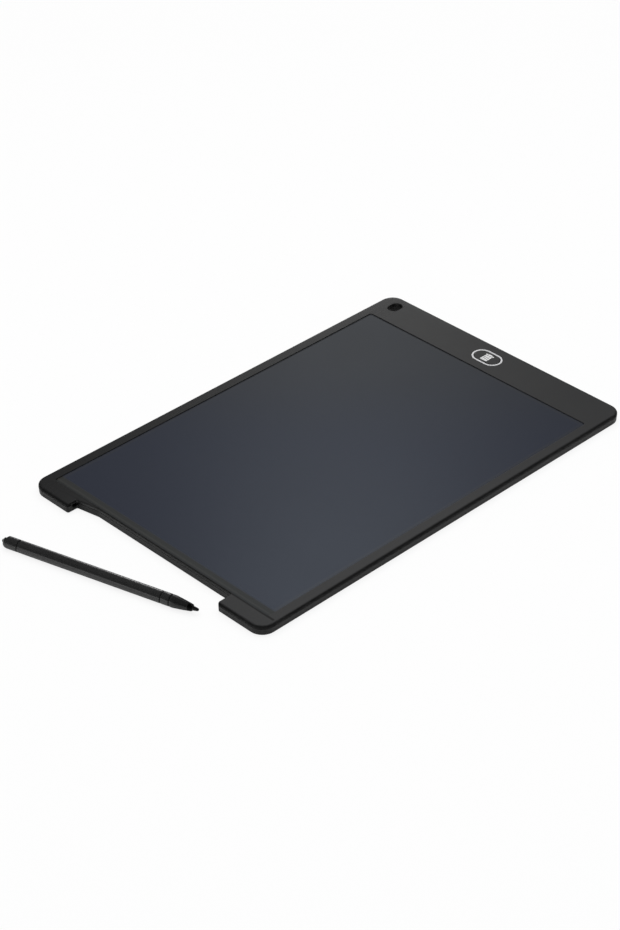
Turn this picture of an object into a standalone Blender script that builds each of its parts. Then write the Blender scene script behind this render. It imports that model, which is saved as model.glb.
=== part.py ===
"""A 12 inch LCD writing tablet with a stylus lying beside it.

Metres, +Z up.  X runs across the tablet and Y along it, from the stylus notch (-Y) to the
erase button (+Y).  The origin is the centre of the rear cover's flat outer face, so the rubber
feet and the table lie just below z = 0.
"""
from math import atan2, cos, pi, radians, sin, tan

import bmesh
import bpy
from mathutils import Matrix, Vector

MM = 0.001

# Driving dimensions
BODY_WIDTH = 187.0 * MM
BODY_LENGTH = 290.0 * MM
SHELL_HEIGHT = 5.8 * MM
CORNER_RADIUS = 8.6 * MM
PARTING_HEIGHT = 4.0 * MM

# Clearances and modelling values
SEAT = 0.3 * MM
THIN_SEAT = 0.2 * MM
SOLDER_GAP = 0.1 * MM
OVERRUN = 1.0 * MM
OVERLAP = 0.3 * MM
WELD = 0.002 * MM
MIN_ROUND = 0.25 * MM
CORNER_STEPS = 8
SMALL_STEPS = 3
FILLET_STEPS = 4
BASE_STEPS = 2
SHARP_ANGLE = radians(35)

# Shell walls
EDGE_FILLET = 1.3 * MM
NOTCH_FILLET = 0.5 * MM
BASE_FILLET = 0.4 * MM
NOTCH_BASE_FILLET = 0.2 * MM
SIDE_TAPER = 0.2 * MM
PARTING_REVEAL = 0.15 * MM
FRONT_WALL = 0.75 * MM
FRONT_SKIRT = 0.8 * MM
TONGUE_WALL = 0.7 * MM
TONGUE_RISE = 0.6 * MM
TONGUE_NOTCH_GAP = 1.0 * MM
REAR_WALL = 1.2 * MM

# Stylus notch in the -Y edge
NOTCH_SHIFT = 1.7 * MM
NOTCH_DEPTH = 10.0 * MM
NOTCH_LIP = 1.0 * MM
RAMP_LENGTH = 15.0 * MM
RAMP_HEIGHT = 3.0 * MM
LUG_ROUND = 1.5 * MM
NOTCH_ROUND = 0.8 * MM
RAMP_ROUND = 8.0 * MM
DOCK_INSET = 4.6 * MM
DOCK_HEIGHT = 3.0 * MM
DOCK_HIDDEN = 3.05 * MM
NIB_HOLE_RADIUS = 1.3 * MM
TAIL_SLOT_HEIGHT = 2.4 * MM
TAIL_SLOT_WIDTH = 3.8 * MM
TAIL_SLOT_SHIFT = 0.75 * MM

# Window and the film stack under it
WINDOW_SIDE_MARGIN = 6.9 * MM
WINDOW_TOP_MARGIN = 26.3 * MM
WINDOW_CORNER = 1.2 * MM
WINDOW_CHAMFER = 0.15 * MM
WINDOW_LIP = 0.4 * MM
FILM_OVERLAP = 2.0 * MM
FILM_TOP_OVERLAP = 1.5 * MM
FILM_CORNER = 1.0 * MM
FILM_THICKNESS = 0.5 * MM
FILM_GAP = 0.1 * MM
BOARD_THICKNESS = 0.7 * MM
FOAM_THICKNESS = 1.8 * MM
FOAM_MARGIN = 1.5 * MM

# Pocket grid moulded in the rear cover's floor
POCKET_COLUMNS = 4
POCKET_ROWS = 6
POCKET_RIB = 2.0 * MM
POCKET_MARGIN = 6.0 * MM
POCKET_CORNER = 1.5 * MM
POCKET_STEPS = 2
BAY_STEP = 0.5 * MM

# Erase button with its white trim ring
BUTTON_X = -1.3 * MM
BUTTON_INSET = 13.5 * MM
RING_LENGTH = 20.6 * MM
RING_WIDTH = 13.0 * MM
RING_LINE = 1.05 * MM
RING_THICKNESS = 0.5 * MM
RING_PROUD = 0.05 * MM
BUTTON_PROUD = 0.1 * MM
BUTTON_FLANGE = 1.2 * MM
BUTTON_FLANGE_THICKNESS = 0.5 * MM
BUTTON_EDGE = 0.3 * MM
COLLAR_DROP = 0.65 * MM
COLLAR_MARGIN = 1.5 * MM
BUTTON_TRAVEL = 0.3 * MM

# Circuit board and what is soldered on it
PCB_LEFT = -44.0 * MM
PCB_RIGHT = 20.0 * MM
PCB_LOW_GAP = 1.8 * MM
PCB_HIGH_GAP = 1.0 * MM
PCB_THICKNESS = 0.8 * MM
PCB_STANDOFF = 0.3 * MM
PCB_ROUND = 0.8 * MM
PCB_PAD_RADIUS = 2.6 * MM
PCB_PAD_INSET = 3.4 * MM
ERASE_SWITCH_SIZE = 4.6 * MM
ERASE_SWITCH_HEIGHT = 0.55 * MM
ERASE_SWITCH_ROUND = 0.5 * MM
PLUNGER_RADIUS = 1.2 * MM
PLUNGER_HIDDEN = 0.12 * MM
CHIP_X = -30.0 * MM
CHIP_INSET = 5.2 * MM
CHIP_WIDTH = 4.9 * MM
CHIP_LENGTH = 3.9 * MM
CHIP_HEIGHT = 1.4 * MM
CHIP_LEAD = 0.42 * MM
CHIP_LEAD_REACH = 1.05 * MM
CHIP_LEAD_PITCH = 1.27 * MM
CHIP_LEADS_PER_SIDE = 4
CHIP_LEAD_HEIGHT = 0.6 * MM
CHIP_DRAFT = 0.15 * MM
INDUCTOR_X = -21.8 * MM
INDUCTOR_INSET = 4.8 * MM
INDUCTOR_RADIUS = 2.2 * MM
INDUCTOR_HEIGHT = 1.8 * MM
INDUCTOR_WAIST = 0.5 * MM
INDUCTOR_FLANGE = 0.45 * MM
CAPACITOR_LENGTH = 2.0 * MM
CAPACITOR_WIDTH = 1.25 * MM
CAPACITOR_HEIGHT = 0.9 * MM
CAPACITOR_X = -16.5 * MM
CAPACITOR_INSET = 3.2 * MM
CAPACITOR_PITCH = 3.0 * MM
CAPACITOR_EDGE = 0.12 * MM
DIODE_X = -36.0 * MM
DIODE_INSET = 4.6 * MM
DIODE_LENGTH = 2.6 * MM
DIODE_WIDTH = 1.6 * MM
DIODE_HEIGHT = 1.0 * MM
CONNECTOR_X = -38.0 * MM
CONNECTOR_INSET = 4.3 * MM
CONNECTOR_WIDTH = 8.0 * MM
CONNECTOR_LENGTH = 3.4 * MM
CONNECTOR_HEIGHT = 1.3 * MM
CONNECTOR_SLOT = 0.8 * MM
CONNECTOR_SLOT_DEPTH = 2.0 * MM
TAIL_WIDTH = 5.6 * MM
TAIL_THICKNESS = 0.2 * MM
TAIL_BEND_STEPS = 8

# Lock switch and the slider on the back that works it
LOCK_X = -24.0 * MM
LOCK_INSET = 3.7 * MM
LOCK_TRAVEL = 2.0 * MM
LOCK_BODY_LENGTH = 7.4 * MM
LOCK_BODY_DEPTH = 2.8 * MM
LOCK_BODY_HEIGHT = 1.4 * MM
LOCK_SLOT_HEIGHT = 1.0 * MM
LOCK_SLOT_DEPTH = 2.0 * MM
LEVER_WIDTH = 1.2 * MM
LEVER_THICKNESS = 0.6 * MM
LEVER_REACH = 3.2 * MM
SLIDER_GRIP_LENGTH = 8.0 * MM
SLIDER_GRIP_WIDTH = 5.2 * MM
SLIDER_PROUD = 0.25 * MM
SLIDER_RECESS_DEPTH = 0.6 * MM
SLIDER_RECESS_ROUND = 0.4 * MM
SLIDER_RIDGES = 6
SLIDER_RIDGE_HEIGHT = 0.2 * MM
SLIDER_STEM_LENGTH = 5.0 * MM
SLIDER_STEM_WIDTH = 2.4 * MM
SLIDER_FLANGE_LENGTH = 10.0 * MM
SLIDER_FLANGE_WIDTH = 4.4 * MM
SLIDER_FLANGE_THICKNESS = 0.5 * MM
SLIDER_PRONG = 0.8 * MM
SLIDER_PRONG_WIDTH = 2.0 * MM
SLIDER_PRONG_TOP_GAP = 1.25 * MM
PCB_NOTCH_MARGIN = 2.4 * MM

# Coin cell, its contacts, door and door screw
CELL_FROM_PCB = 18.0 * MM
CELL_INSET = 13.4 * MM
CELL_RADIUS = 10.0 * MM
CELL_THICKNESS = 2.5 * MM
CELL_RIM = 0.6 * MM
CELL_STEP = 0.3 * MM
CELL_CLEARANCE = 0.4 * MM
CELL_WALL = 0.6 * MM
CELL_WALL_RISE = 1.4 * MM
CELL_SIDES = 36
CONTACT_GAP_WIDTH = 15.0 * MM
CONTACT_CHANNEL = 0.2 * MM
DOOR_THICKNESS = 1.0 * MM
DOOR_MARGIN = 0.6 * MM
DOOR_SCREW_END = 12.0 * MM
DOOR_CORNER = 2.0 * MM
DOOR_KEY_LENGTH = 1.6 * MM
DOOR_KEY_WIDTH = 8.0 * MM
DOOR_KEY_ROUND = 0.7 * MM
DOOR_GROOVES = 4
DOOR_GROOVE_DEPTH = 0.3 * MM
DOOR_GROOVE_WIDTH = 0.7 * MM
DOOR_GROOVE_PITCH = 1.7 * MM
DOOR_GROOVE_LENGTH = 9.0 * MM
BAY_LEDGE = 1.0 * MM
BAY_FRAME = 1.2 * MM
CONTACT_THICKNESS = 0.25 * MM
CONTACT_WIDTH = 3.0 * MM
CONTACT_PAD = 5.0 * MM
POSITIVE_CONTACT_TOP = 0.9 * MM
NEGATIVE_CONTACT_SHIFT = 4.2 * MM
NEGATIVE_CONTACT_RAMP = 4.0 * MM
NEGATIVE_CONTACT_REACH = 3.0 * MM

# Screws, posts and bosses
SCREW_RADIUS = 0.7 * MM
SCREW_POINT = 0.5 * MM
SCREW_HEAD_RADIUS = 1.7 * MM
SCREW_HEAD_HEIGHT = 0.45 * MM
SCREW_SINK = 0.15 * MM
SCREW_SLOT_WIDTH = 0.45 * MM
SCREW_SLOT_DEPTH = 0.25 * MM
PILOT_RADIUS = 0.85 * MM
CLEARANCE_RADIUS = 1.05 * MM
HEAD_HOLE_RADIUS = 2.0 * MM
HEAD_HOLE_DEPTH = 0.9 * MM
POST_RADIUS = 2.2 * MM
POST_DRAFT = 0.15 * MM
POST_END = 2.4 * MM
PILOT_END = 4.8 * MM
BOSS_RADIUS = 2.9 * MM
BOSS_HEIGHT = 0.9 * MM
CASE_SCREW_LENGTH = 4.1 * MM
TOP_SCREW_FROM_LANYARD = 15.0 * MM
TOP_SCREW_SIDE_INSET = 10.5 * MM
TOP_SCREW_INSET = 13.4 * MM
LUG_SCREW_INSET = 5.6 * MM
BOARD_SCREW_LENGTH = 1.9 * MM
BOARD_PILOT_FLOOR = 0.5 * MM
BOARD_HOLE_RADIUS = 0.95 * MM
DOOR_SCREW_LENGTH = 3.0 * MM
DOOR_BOSS_TOP = 4.3 * MM
DOOR_PILOT_TOP = 3.9 * MM
ROUND_SIDES = 16
SCREW_SIDES = 12

# Lanyard hole in the (-X, +Y) corner
LANYARD_SIDE_INSET = 12.5 * MM
LANYARD_END_INSET = 10.6 * MM
LANYARD_WIDTH = 7.0 * MM
LANYARD_LENGTH = 9.6 * MM
LANYARD_WALL = 1.2 * MM
LANYARD_CHAMFER = 0.4 * MM

# Rubber feet
FOOT_RADIUS = 4.5 * MM
FOOT_THICKNESS = 0.8 * MM
FOOT_PROUD = 0.6 * MM
FOOT_EDGE = 0.15 * MM
FOOT_SIDE_INSET = 13.5 * MM
FOOT_END_INSET = 33.0 * MM
FOOT_SIDES = 20

# Stylus, measured along its axis from the tail
PEN_TAIL_SHIFT = 2.7 * MM
PEN_TAIL_DISTANCE = 43.25 * MM
PEN_ANGLE = radians(15.91)
PEN_RADIUS = 3.55 * MM
PEN_KNOB_LENGTH = 1.2 * MM
PEN_KNOB_RADIUS = 1.0 * MM
PEN_DOME = 2.7 * MM
PEN_FLAT_ANGLE = radians(38.3)
PEN_FLAT_DISTANCE = 2.05 * MM
PEN_FLAT_LENGTH = 3.3 * MM
PEN_FLAT_STEP = 0.6 * MM
PEN_CAP_LENGTH = 10.9 * MM
PEN_BARREL_LENGTH = 91.8 * MM
PEN_COLLAR_LENGTH = 5.5 * MM
PEN_NOSE_LENGTH = 12.75 * MM
PEN_NOSE_END_RADIUS = 2.0 * MM
PEN_NOSE_EDGE = 0.15 * MM
PEN_NOSE_SHOULDER = 1.6 * MM
PEN_NIB_LENGTH = 3.95 * MM
PEN_NIB_RADIUS = 1.2 * MM
PEN_NIB_STEM_RADIUS = 0.9 * MM
PEN_NIB_TAPER = 1.8 * MM
PEN_BORE_RADIUS = 2.1 * MM
PEN_SPIGOT_LENGTH = 5.0 * MM
PEN_SPIGOT_RADIUS = 1.8 * MM
PEN_EDGE = 0.25 * MM
PEN_JOINT_GAP = 0.45 * MM
PEN_NIB_TAIL = 16.0 * MM
PEN_SIDES = 24
PEN_DOME_STEPS = 4
PEN_NOSE_STEPS = 5

# Shares of the sizes that they follow
NOSE_CURVE_share = 0.08
CHIP_BEVEL_share = 0.5

# Colours: red, green, blue, roughness, metallic
COVER_FINISH = (0.045, 0.045, 0.046, 0.5, 0.0)
REAR_FINISH = (0.045, 0.045, 0.046, 0.55, 0.0)
FILM_FINISH = (0.048, 0.053, 0.069, 0.35, 0.0)
BOARD_FINISH = (0.02, 0.02, 0.022, 0.7, 0.0)
FOAM_FINISH = (0.06, 0.06, 0.065, 0.95, 0.0)
WHITE_FINISH = (0.75, 0.75, 0.75, 0.5, 0.0)
RUBBER_FINISH = (0.03, 0.03, 0.03, 0.9, 0.0)
PCB_FINISH = (0.02, 0.16, 0.06, 0.5, 0.0)
CHIP_FINISH = (0.02, 0.02, 0.02, 0.6, 0.0)
FERRITE_FINISH = (0.07, 0.07, 0.075, 0.7, 0.0)
CERAMIC_FINISH = (0.45, 0.33, 0.2, 0.6, 0.0)
STEEL_FINISH = (0.6, 0.6, 0.6, 0.3, 1.0)
COPPER_FINISH = (0.75, 0.4, 0.15, 0.4, 0.6)
PEN_FINISH = (0.03, 0.03, 0.032, 0.35, 0.0)
NIB_FINISH = (0.015, 0.015, 0.015, 0.4, 0.0)

# Heights worked out from the sizes above
HALF_WIDTH = BODY_WIDTH / 2
HALF_LENGTH = BODY_LENGTH / 2
CEILING = SHELL_HEIGHT - FRONT_WALL
POCKET_TOP = SHELL_HEIGHT - WINDOW_LIP
FILM_TOP = POCKET_TOP - FILM_GAP
FILM_BOTTOM = FILM_TOP - FILM_THICKNESS
BOARD_TOP = FILM_BOTTOM - THIN_SEAT
BOARD_BOTTOM = BOARD_TOP - BOARD_THICKNESS
FOAM_TOP = BOARD_BOTTOM - THIN_SEAT
FOAM_BOTTOM = FOAM_TOP - FOAM_THICKNESS
RIB_TOP = FOAM_BOTTOM - THIN_SEAT
REAR_TOP = PARTING_HEIGHT - PARTING_REVEAL
FRONT_LOW = PARTING_HEIGHT + PARTING_REVEAL
TONGUE_OUTSIDE = FRONT_SKIRT + SEAT
SIDE_WALL = TONGUE_OUTSIDE + TONGUE_WALL
PCB_BOTTOM = REAR_WALL + PCB_STANDOFF + THIN_SEAT
PCB_TOP = PCB_BOTTOM + PCB_THICKNESS
ON_PCB = PCB_TOP + SOLDER_GAP
COLLAR_BOTTOM = CEILING - COLLAR_DROP
BUTTON_BOTTOM = COLLAR_BOTTOM - THIN_SEAT - BUTTON_FLANGE_THICKNESS
CELL_BOTTOM = DOOR_THICKNESS + THIN_SEAT
CELL_TOP = CELL_BOTTOM + CELL_THICKNESS
BAY_TOP = CELL_BOTTOM + BAY_LEDGE

# Places in plan worked out from the sizes above
PEN_NOSE_START = PEN_CAP_LENGTH + PEN_BARREL_LENGTH + PEN_COLLAR_LENGTH + PEN_JOINT_GAP
PEN_LENGTH = PEN_NOSE_START + PEN_NOSE_LENGTH + PEN_NIB_LENGTH
NOTCH_LEFT = -(PEN_LENGTH - DOCK_HIDDEN) / 2 - NOTCH_SHIFT
NOTCH_RIGHT = (PEN_LENGTH - DOCK_HIDDEN) / 2 - NOTCH_SHIFT
WINDOW_LEFT = -HALF_WIDTH + WINDOW_SIDE_MARGIN
WINDOW_LOW = -HALF_LENGTH + NOTCH_DEPTH + NOTCH_LIP
WINDOW_HIGH = HALF_LENGTH - WINDOW_TOP_MARGIN
FILM_LOW = WINDOW_LOW + SEAT
FILM_HIGH = WINDOW_HIGH + FILM_TOP_OVERLAP
FILM_REACH = -WINDOW_LEFT + FILM_OVERLAP
BAY_LOW = FILM_HIGH + SEAT
DOCK_Y = -HALF_LENGTH + DOCK_INSET
LANYARD_X = -HALF_WIDTH + LANYARD_SIDE_INSET
LANYARD_Y = HALF_LENGTH - LANYARD_END_INSET
BUTTON_Y = HALF_LENGTH - BUTTON_INSET
PCB_LOW = BAY_LOW + PCB_LOW_GAP
PCB_HIGH = HALF_LENGTH - SIDE_WALL - PCB_HIGH_GAP
CONNECTOR_Y = PCB_LOW + CONNECTOR_INSET
LOCK_Y = PCB_LOW + LOCK_INSET
CELL_X = PCB_RIGHT + CELL_FROM_PCB
CELL_Y = HALF_LENGTH - CELL_INSET
DOOR_LEFT = CELL_X - CELL_RADIUS - CELL_CLEARANCE - DOOR_MARGIN
DOOR_RIGHT = CELL_X + CELL_RADIUS + CELL_CLEARANCE + DOOR_SCREW_END
DOOR_HALF_WIDTH = CELL_RADIUS + CELL_CLEARANCE + DOOR_MARGIN
DOOR_SCREW_X = CELL_X + CELL_RADIUS + CELL_CLEARANCE + DOOR_SCREW_END / 2
LOCK_REST_X = LOCK_X - LOCK_TRAVEL / 2
SLIDER_SLOT_LENGTH = SLIDER_STEM_LENGTH + LOCK_TRAVEL + 2 * SEAT
SLIDER_SLOT_WIDTH = SLIDER_STEM_WIDTH + 2 * SEAT
PCB_NOTCH_HIGH = LOCK_Y + SLIDER_FLANGE_WIDTH / 2 + SEAT
CASE_SCREW_PLACES = (
    (LANYARD_X + TOP_SCREW_FROM_LANYARD, HALF_LENGTH - TOP_SCREW_INSET),
    (HALF_WIDTH - TOP_SCREW_SIDE_INSET, HALF_LENGTH - TOP_SCREW_INSET),
    ((NOTCH_LEFT - HALF_WIDTH) / 2, -HALF_LENGTH + LUG_SCREW_INSET),
    ((NOTCH_RIGHT + HALF_WIDTH) / 2, -HALF_LENGTH + LUG_SCREW_INSET),
)
BOARD_SCREW_PLACES = (
    (PCB_LEFT + PCB_PAD_INSET, PCB_HIGH - PCB_PAD_INSET),
    (PCB_RIGHT - PCB_PAD_INSET, PCB_HIGH - PCB_PAD_INSET),
)
BOARD_REST_PLACES = (
    (PCB_LEFT + PCB_PAD_INSET, LOCK_Y + PCB_PAD_INSET),
    (PCB_RIGHT - PCB_PAD_INSET, PCB_LOW + PCB_PAD_INSET),
)
FOOT_X = HALF_WIDTH - FOOT_SIDE_INSET
FOOT_Y = HALF_LENGTH - FOOT_END_INSET
FOOT_PLACES = ((-FOOT_X, -FOOT_Y), (FOOT_X, -FOOT_Y), (FOOT_X, FOOT_Y), (-FOOT_X, FOOT_Y))


def clear_scene():
    for obj in list(bpy.data.objects):
        bpy.data.objects.remove(obj, do_unlink=True)


# Outlines in plan, listed anticlockwise
def rounded_outline(corners, radii, steps):
    """Points of a polygon whose corners are replaced by arcs; a zero radius keeps its corner."""
    points = []
    for index, corner in enumerate(corners):
        here = Vector(corner)
        to_here = (here - Vector(corners[index - 1])).normalized()
        onward = (Vector(corners[(index + 1) % len(corners)]) - here).normalized()
        turn = atan2(to_here.x * onward.y - to_here.y * onward.x, to_here.dot(onward))
        radius = radii[index]
        if radius == 0:
            points.append(tuple(here))
            continue
        start = here - to_here * radius * tan(abs(turn) / 2)
        side = 1 if turn > 0 else -1
        centre = start + Vector((-to_here.y, to_here.x)) * radius * side
        for step in range(steps + 1):
            arm = Matrix.Rotation(turn * step / steps, 2) @ (start - centre)
            points.append(tuple(centre + arm))
    return points


def inset_corners(corners, insets):
    """Corners of the polygon whose edges have moved inward, each by its own inset."""
    moved = []
    for index, corner in enumerate(corners):
        here = Vector(corner)
        before = (here - Vector(corners[index - 1])).normalized()
        after = (Vector(corners[(index + 1) % len(corners)]) - here).normalized()
        normal_a = Vector((-before.y, before.x))
        normal_b = Vector((-after.y, after.x))
        reach_a = here.dot(normal_a) + insets[index - 1]
        reach_b = here.dot(normal_b) + insets[index]
        det = normal_a.x * normal_b.y - normal_a.y * normal_b.x
        x = (reach_a * normal_b.y - reach_b * normal_a.y) / det
        y = (normal_a.x * reach_b - normal_b.x * reach_a) / det
        moved.append((x, y))
    return moved


def shell_outline(inset, notch_inset):
    """Outline of the tablet with its stylus notch, moved inward."""
    low = -HALF_LENGTH
    corners = (
        (-HALF_WIDTH, low),
        (NOTCH_LEFT, low),
        (NOTCH_LEFT, low + NOTCH_DEPTH - RAMP_HEIGHT),
        (NOTCH_LEFT + RAMP_LENGTH, low + NOTCH_DEPTH),
        (NOTCH_RIGHT, low + NOTCH_DEPTH),
        (NOTCH_RIGHT, low),
        (HALF_WIDTH, low),
        (HALF_WIDTH, HALF_LENGTH),
        (-HALF_WIDTH, HALF_LENGTH),
    )
    insets = (inset, *[notch_inset] * 4, *[inset] * 4)
    outer = max(CORNER_RADIUS - inset, MIN_ROUND)
    lug = max(LUG_ROUND - max(inset, notch_inset), MIN_ROUND)
    inner = NOTCH_ROUND + notch_inset
    radii = (outer, lug, inner, RAMP_ROUND, inner, lug, outer, outer, outer)
    return rounded_outline(inset_corners(corners, insets), radii, CORNER_STEPS)


def box_outline(left, right, low, high, radius=0, steps=SMALL_STEPS):
    corners = ((left, low), (right, low), (right, high), (left, high))
    return rounded_outline(corners, [radius] * 4, steps)


def centred_outline(width, length, radius=0, steps=SMALL_STEPS):
    return box_outline(-width / 2, width / 2, -length / 2, length / 2, radius, steps)


def stadium_outline(width, length, steps=CORNER_STEPS):
    radius = min(width, length) / 2 - WELD
    return centred_outline(width, length, radius, steps)


def circle_outline(radius, sides=ROUND_SIDES):
    return [(radius * cos(2 * pi * k / sides), radius * sin(2 * pi * k / sides)) for k in range(sides)]


def shifted(outline, x, y):
    return [(px + x, py + y) for px, py in outline]


# Solids
def loft(sections):
    """Closed solid through outlines of equal point counts, each at its own height."""
    bm = bmesh.new()
    rings = [[bm.verts.new((x, y, z)) for x, y in outline] for outline, z in sections]
    for low, high in zip(rings, rings[1:]):
        for index in range(len(low)):
            after = (index + 1) % len(low)
            bm.faces.new((low[index], low[after], high[after], high[index]))
    bm.faces.new(list(reversed(rings[0])))
    bm.faces.new(rings[-1])
    return bm


def prism(outline, low, high):
    return loft(((outline, low), (outline, high)))


def turned(profile, sides=ROUND_SIDES):
    """Solid turned about Z from (radius, height) points; a profile off the axis closes on itself."""
    bm = bmesh.new()
    verts = [bm.verts.new((radius, 0, height)) for radius, height in profile]
    edges = [bm.edges.new(pair) for pair in zip(verts, verts[1:])]
    if profile[0][0] > 0:
        edges.append(bm.edges.new((verts[-1], verts[0])))
    bmesh.ops.spin(bm, geom=verts + edges, cent=(0, 0, 0), axis=(0, 0, 1),
                   angle=2 * pi, steps=sides, use_merge=True)
    bmesh.ops.remove_doubles(bm, verts=bm.verts, dist=WELD)
    return bm


def joined(parts):
    """One mesh that holds several separate solids, for a cutter."""
    bm = bmesh.new()
    for part in parts:
        mesh = bpy.data.meshes.new("part")
        part.to_mesh(mesh)
        part.free()
        bm.from_mesh(mesh)
        bpy.data.meshes.remove(mesh)
    return bm


def turn_to(bm, axis_from, axis_to):
    """Turn a mesh so that one axis takes the direction of another."""
    turn = Vector(axis_from).rotation_difference(Vector(axis_to)).to_matrix()
    bmesh.ops.rotate(bm, verts=bm.verts, cent=(0, 0, 0), matrix=turn)
    return bm


# Objects
def make_object(name, bm, at, parent):
    bmesh.ops.recalc_face_normals(bm, faces=bm.faces)
    mesh = bpy.data.meshes.new(name)
    bm.to_mesh(mesh)
    bm.free()
    obj = bpy.data.objects.new(name, mesh)
    bpy.context.scene.collection.objects.link(obj)
    obj.location = at
    obj.parent = parent
    return obj


def make_empty(name, at=(0, 0, 0), angle=0, parent=None):
    empty = bpy.data.objects.new(name, None)
    bpy.context.scene.collection.objects.link(empty)
    empty.location = at
    empty.rotation_euler = (0, 0, angle)
    empty.parent = parent
    return empty


def make_piece(name, bm, finish, at=(0, 0, 0), parent=None):
    """A real piece: one object with its own material, shaded smooth between its sharp edges."""
    obj = make_object(name, bm, at, parent)
    red, green, blue, roughness, metallic = finish
    material = bpy.data.materials.new(name)
    material.use_nodes = True
    shader = material.node_tree.nodes["Principled BSDF"]
    shader.inputs["Base Color"].default_value = (red, green, blue, 1)
    shader.inputs["Roughness"].default_value = roughness
    shader.inputs["Metallic"].default_value = metallic
    obj.data.materials.append(material)
    obj.data.shade_smooth()
    obj.data.set_sharp_from_angle(angle=SHARP_ANGLE)
    return obj


def change(target, name, bm, operation, at=(0, 0, 0)):
    """Cut a hidden solid out of a piece, or fuse it on."""
    tool = make_object(name, bm, at, target.parent)
    tool.hide_render = True
    tool.display_type = "WIRE"
    modifier = target.modifiers.new(name, "BOOLEAN")
    modifier.operation = operation
    modifier.solver = "EXACT"
    modifier.object = tool


def cut(target, name, bm, at=(0, 0, 0)):
    change(target, name, bm, "DIFFERENCE", at)


def fuse(target, name, bm, at=(0, 0, 0)):
    change(target, name, bm, "UNION", at)


# Cuts that both covers share
def lanyard_cutter():
    """Oblong hole with a chamfered mouth at each face."""
    straight = stadium_outline(LANYARD_WIDTH, LANYARD_LENGTH)
    flare = 2 * (LANYARD_CHAMFER + OVERRUN)
    mouth = stadium_outline(LANYARD_WIDTH + flare, LANYARD_LENGTH + flare)
    return loft((
        (mouth, -OVERRUN),
        (straight, LANYARD_CHAMFER),
        (straight, SHELL_HEIGHT - LANYARD_CHAMFER),
        (mouth, SHELL_HEIGHT + OVERRUN),
    ))


def nib_hole_cutter():
    """Hole along X through the right lug's inner wall, where the docked nib goes."""
    depth = SIDE_WALL + 2 * OVERRUN
    return turn_to(prism(circle_outline(NIB_HOLE_RADIUS), -OVERRUN, depth), (0, 0, 1), (1, 0, 0))


def tail_slot_cutter():
    """Oblong hole along X through the left lug's inner wall, where the stylus knob goes."""
    outline = stadium_outline(TAIL_SLOT_HEIGHT, TAIL_SLOT_WIDTH)
    depth = SIDE_WALL + 2 * OVERRUN
    return turn_to(prism(outline, -OVERRUN, depth), (0, 0, 1), (-1, 0, 0))


def cut_shared_openings(cover):
    cut(cover, cover.name + "_lanyard_hole", lanyard_cutter(), (LANYARD_X, LANYARD_Y, 0))
    cut(cover, cover.name + "_nib_hole", nib_hole_cutter(), (NOTCH_RIGHT, DOCK_Y, DOCK_HEIGHT))
    tail_y = DOCK_Y + TAIL_SLOT_SHIFT
    cut(cover, cover.name + "_tail_slot", tail_slot_cutter(), (NOTCH_LEFT, tail_y, DOCK_HEIGHT))


# Front cover
def front_shell():
    """Outside of the front cover: upright rim and a rounded upper edge."""
    sections = [(shell_outline(0, 0), FRONT_LOW)]
    for step in range(FILLET_STEPS + 1):
        angle = pi / 2 * step / FILLET_STEPS
        inset = EDGE_FILLET * (1 - cos(angle))
        notch_inset = NOTCH_FILLET * (1 - cos(angle))
        height = SHELL_HEIGHT - EDGE_FILLET * (1 - sin(angle))
        sections.append((shell_outline(inset, notch_inset), height))
    return loft(sections)


def window_cutter():
    """Window with a small chamfer round its upper edge."""
    def ring(grow):
        return box_outline(WINDOW_LEFT - grow, -WINDOW_LEFT + grow, WINDOW_LOW - grow,
                           WINDOW_HIGH + grow, WINDOW_CORNER + grow)
    return loft((
        (ring(0), CEILING - OVERRUN),
        (ring(0), SHELL_HEIGHT - WINDOW_CHAMFER),
        (ring(WINDOW_CHAMFER), SHELL_HEIGHT),
        (ring(WINDOW_CHAMFER), SHELL_HEIGHT + OVERRUN),
    ))


def film_pocket():
    """Shallow step in the ceiling round the window, which takes the film's edge."""
    side = FILM_REACH + SEAT
    outline = box_outline(-side, side, FILM_LOW - THIN_SEAT, FILM_HIGH + SEAT, FILM_CORNER)
    return prism(outline, CEILING - OVERRUN, POCKET_TOP)


def screw_posts():
    """Tapered posts under the front cover's ceiling that the case screws bite into."""
    posts = []
    for x, y in CASE_SCREW_PLACES:
        tip = shifted(circle_outline(POST_RADIUS - POST_DRAFT), x, y)
        root = shifted(circle_outline(POST_RADIUS), x, y)
        posts.append(loft(((tip, POST_END), (root, CEILING + OVERLAP))))
    return joined(posts)


def pilot_holes():
    holes = []
    for x, y in CASE_SCREW_PLACES:
        hole = shifted(circle_outline(PILOT_RADIUS), x, y)
        holes.append(prism(hole, POST_END - OVERRUN, PILOT_END))
    return joined(holes)


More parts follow.
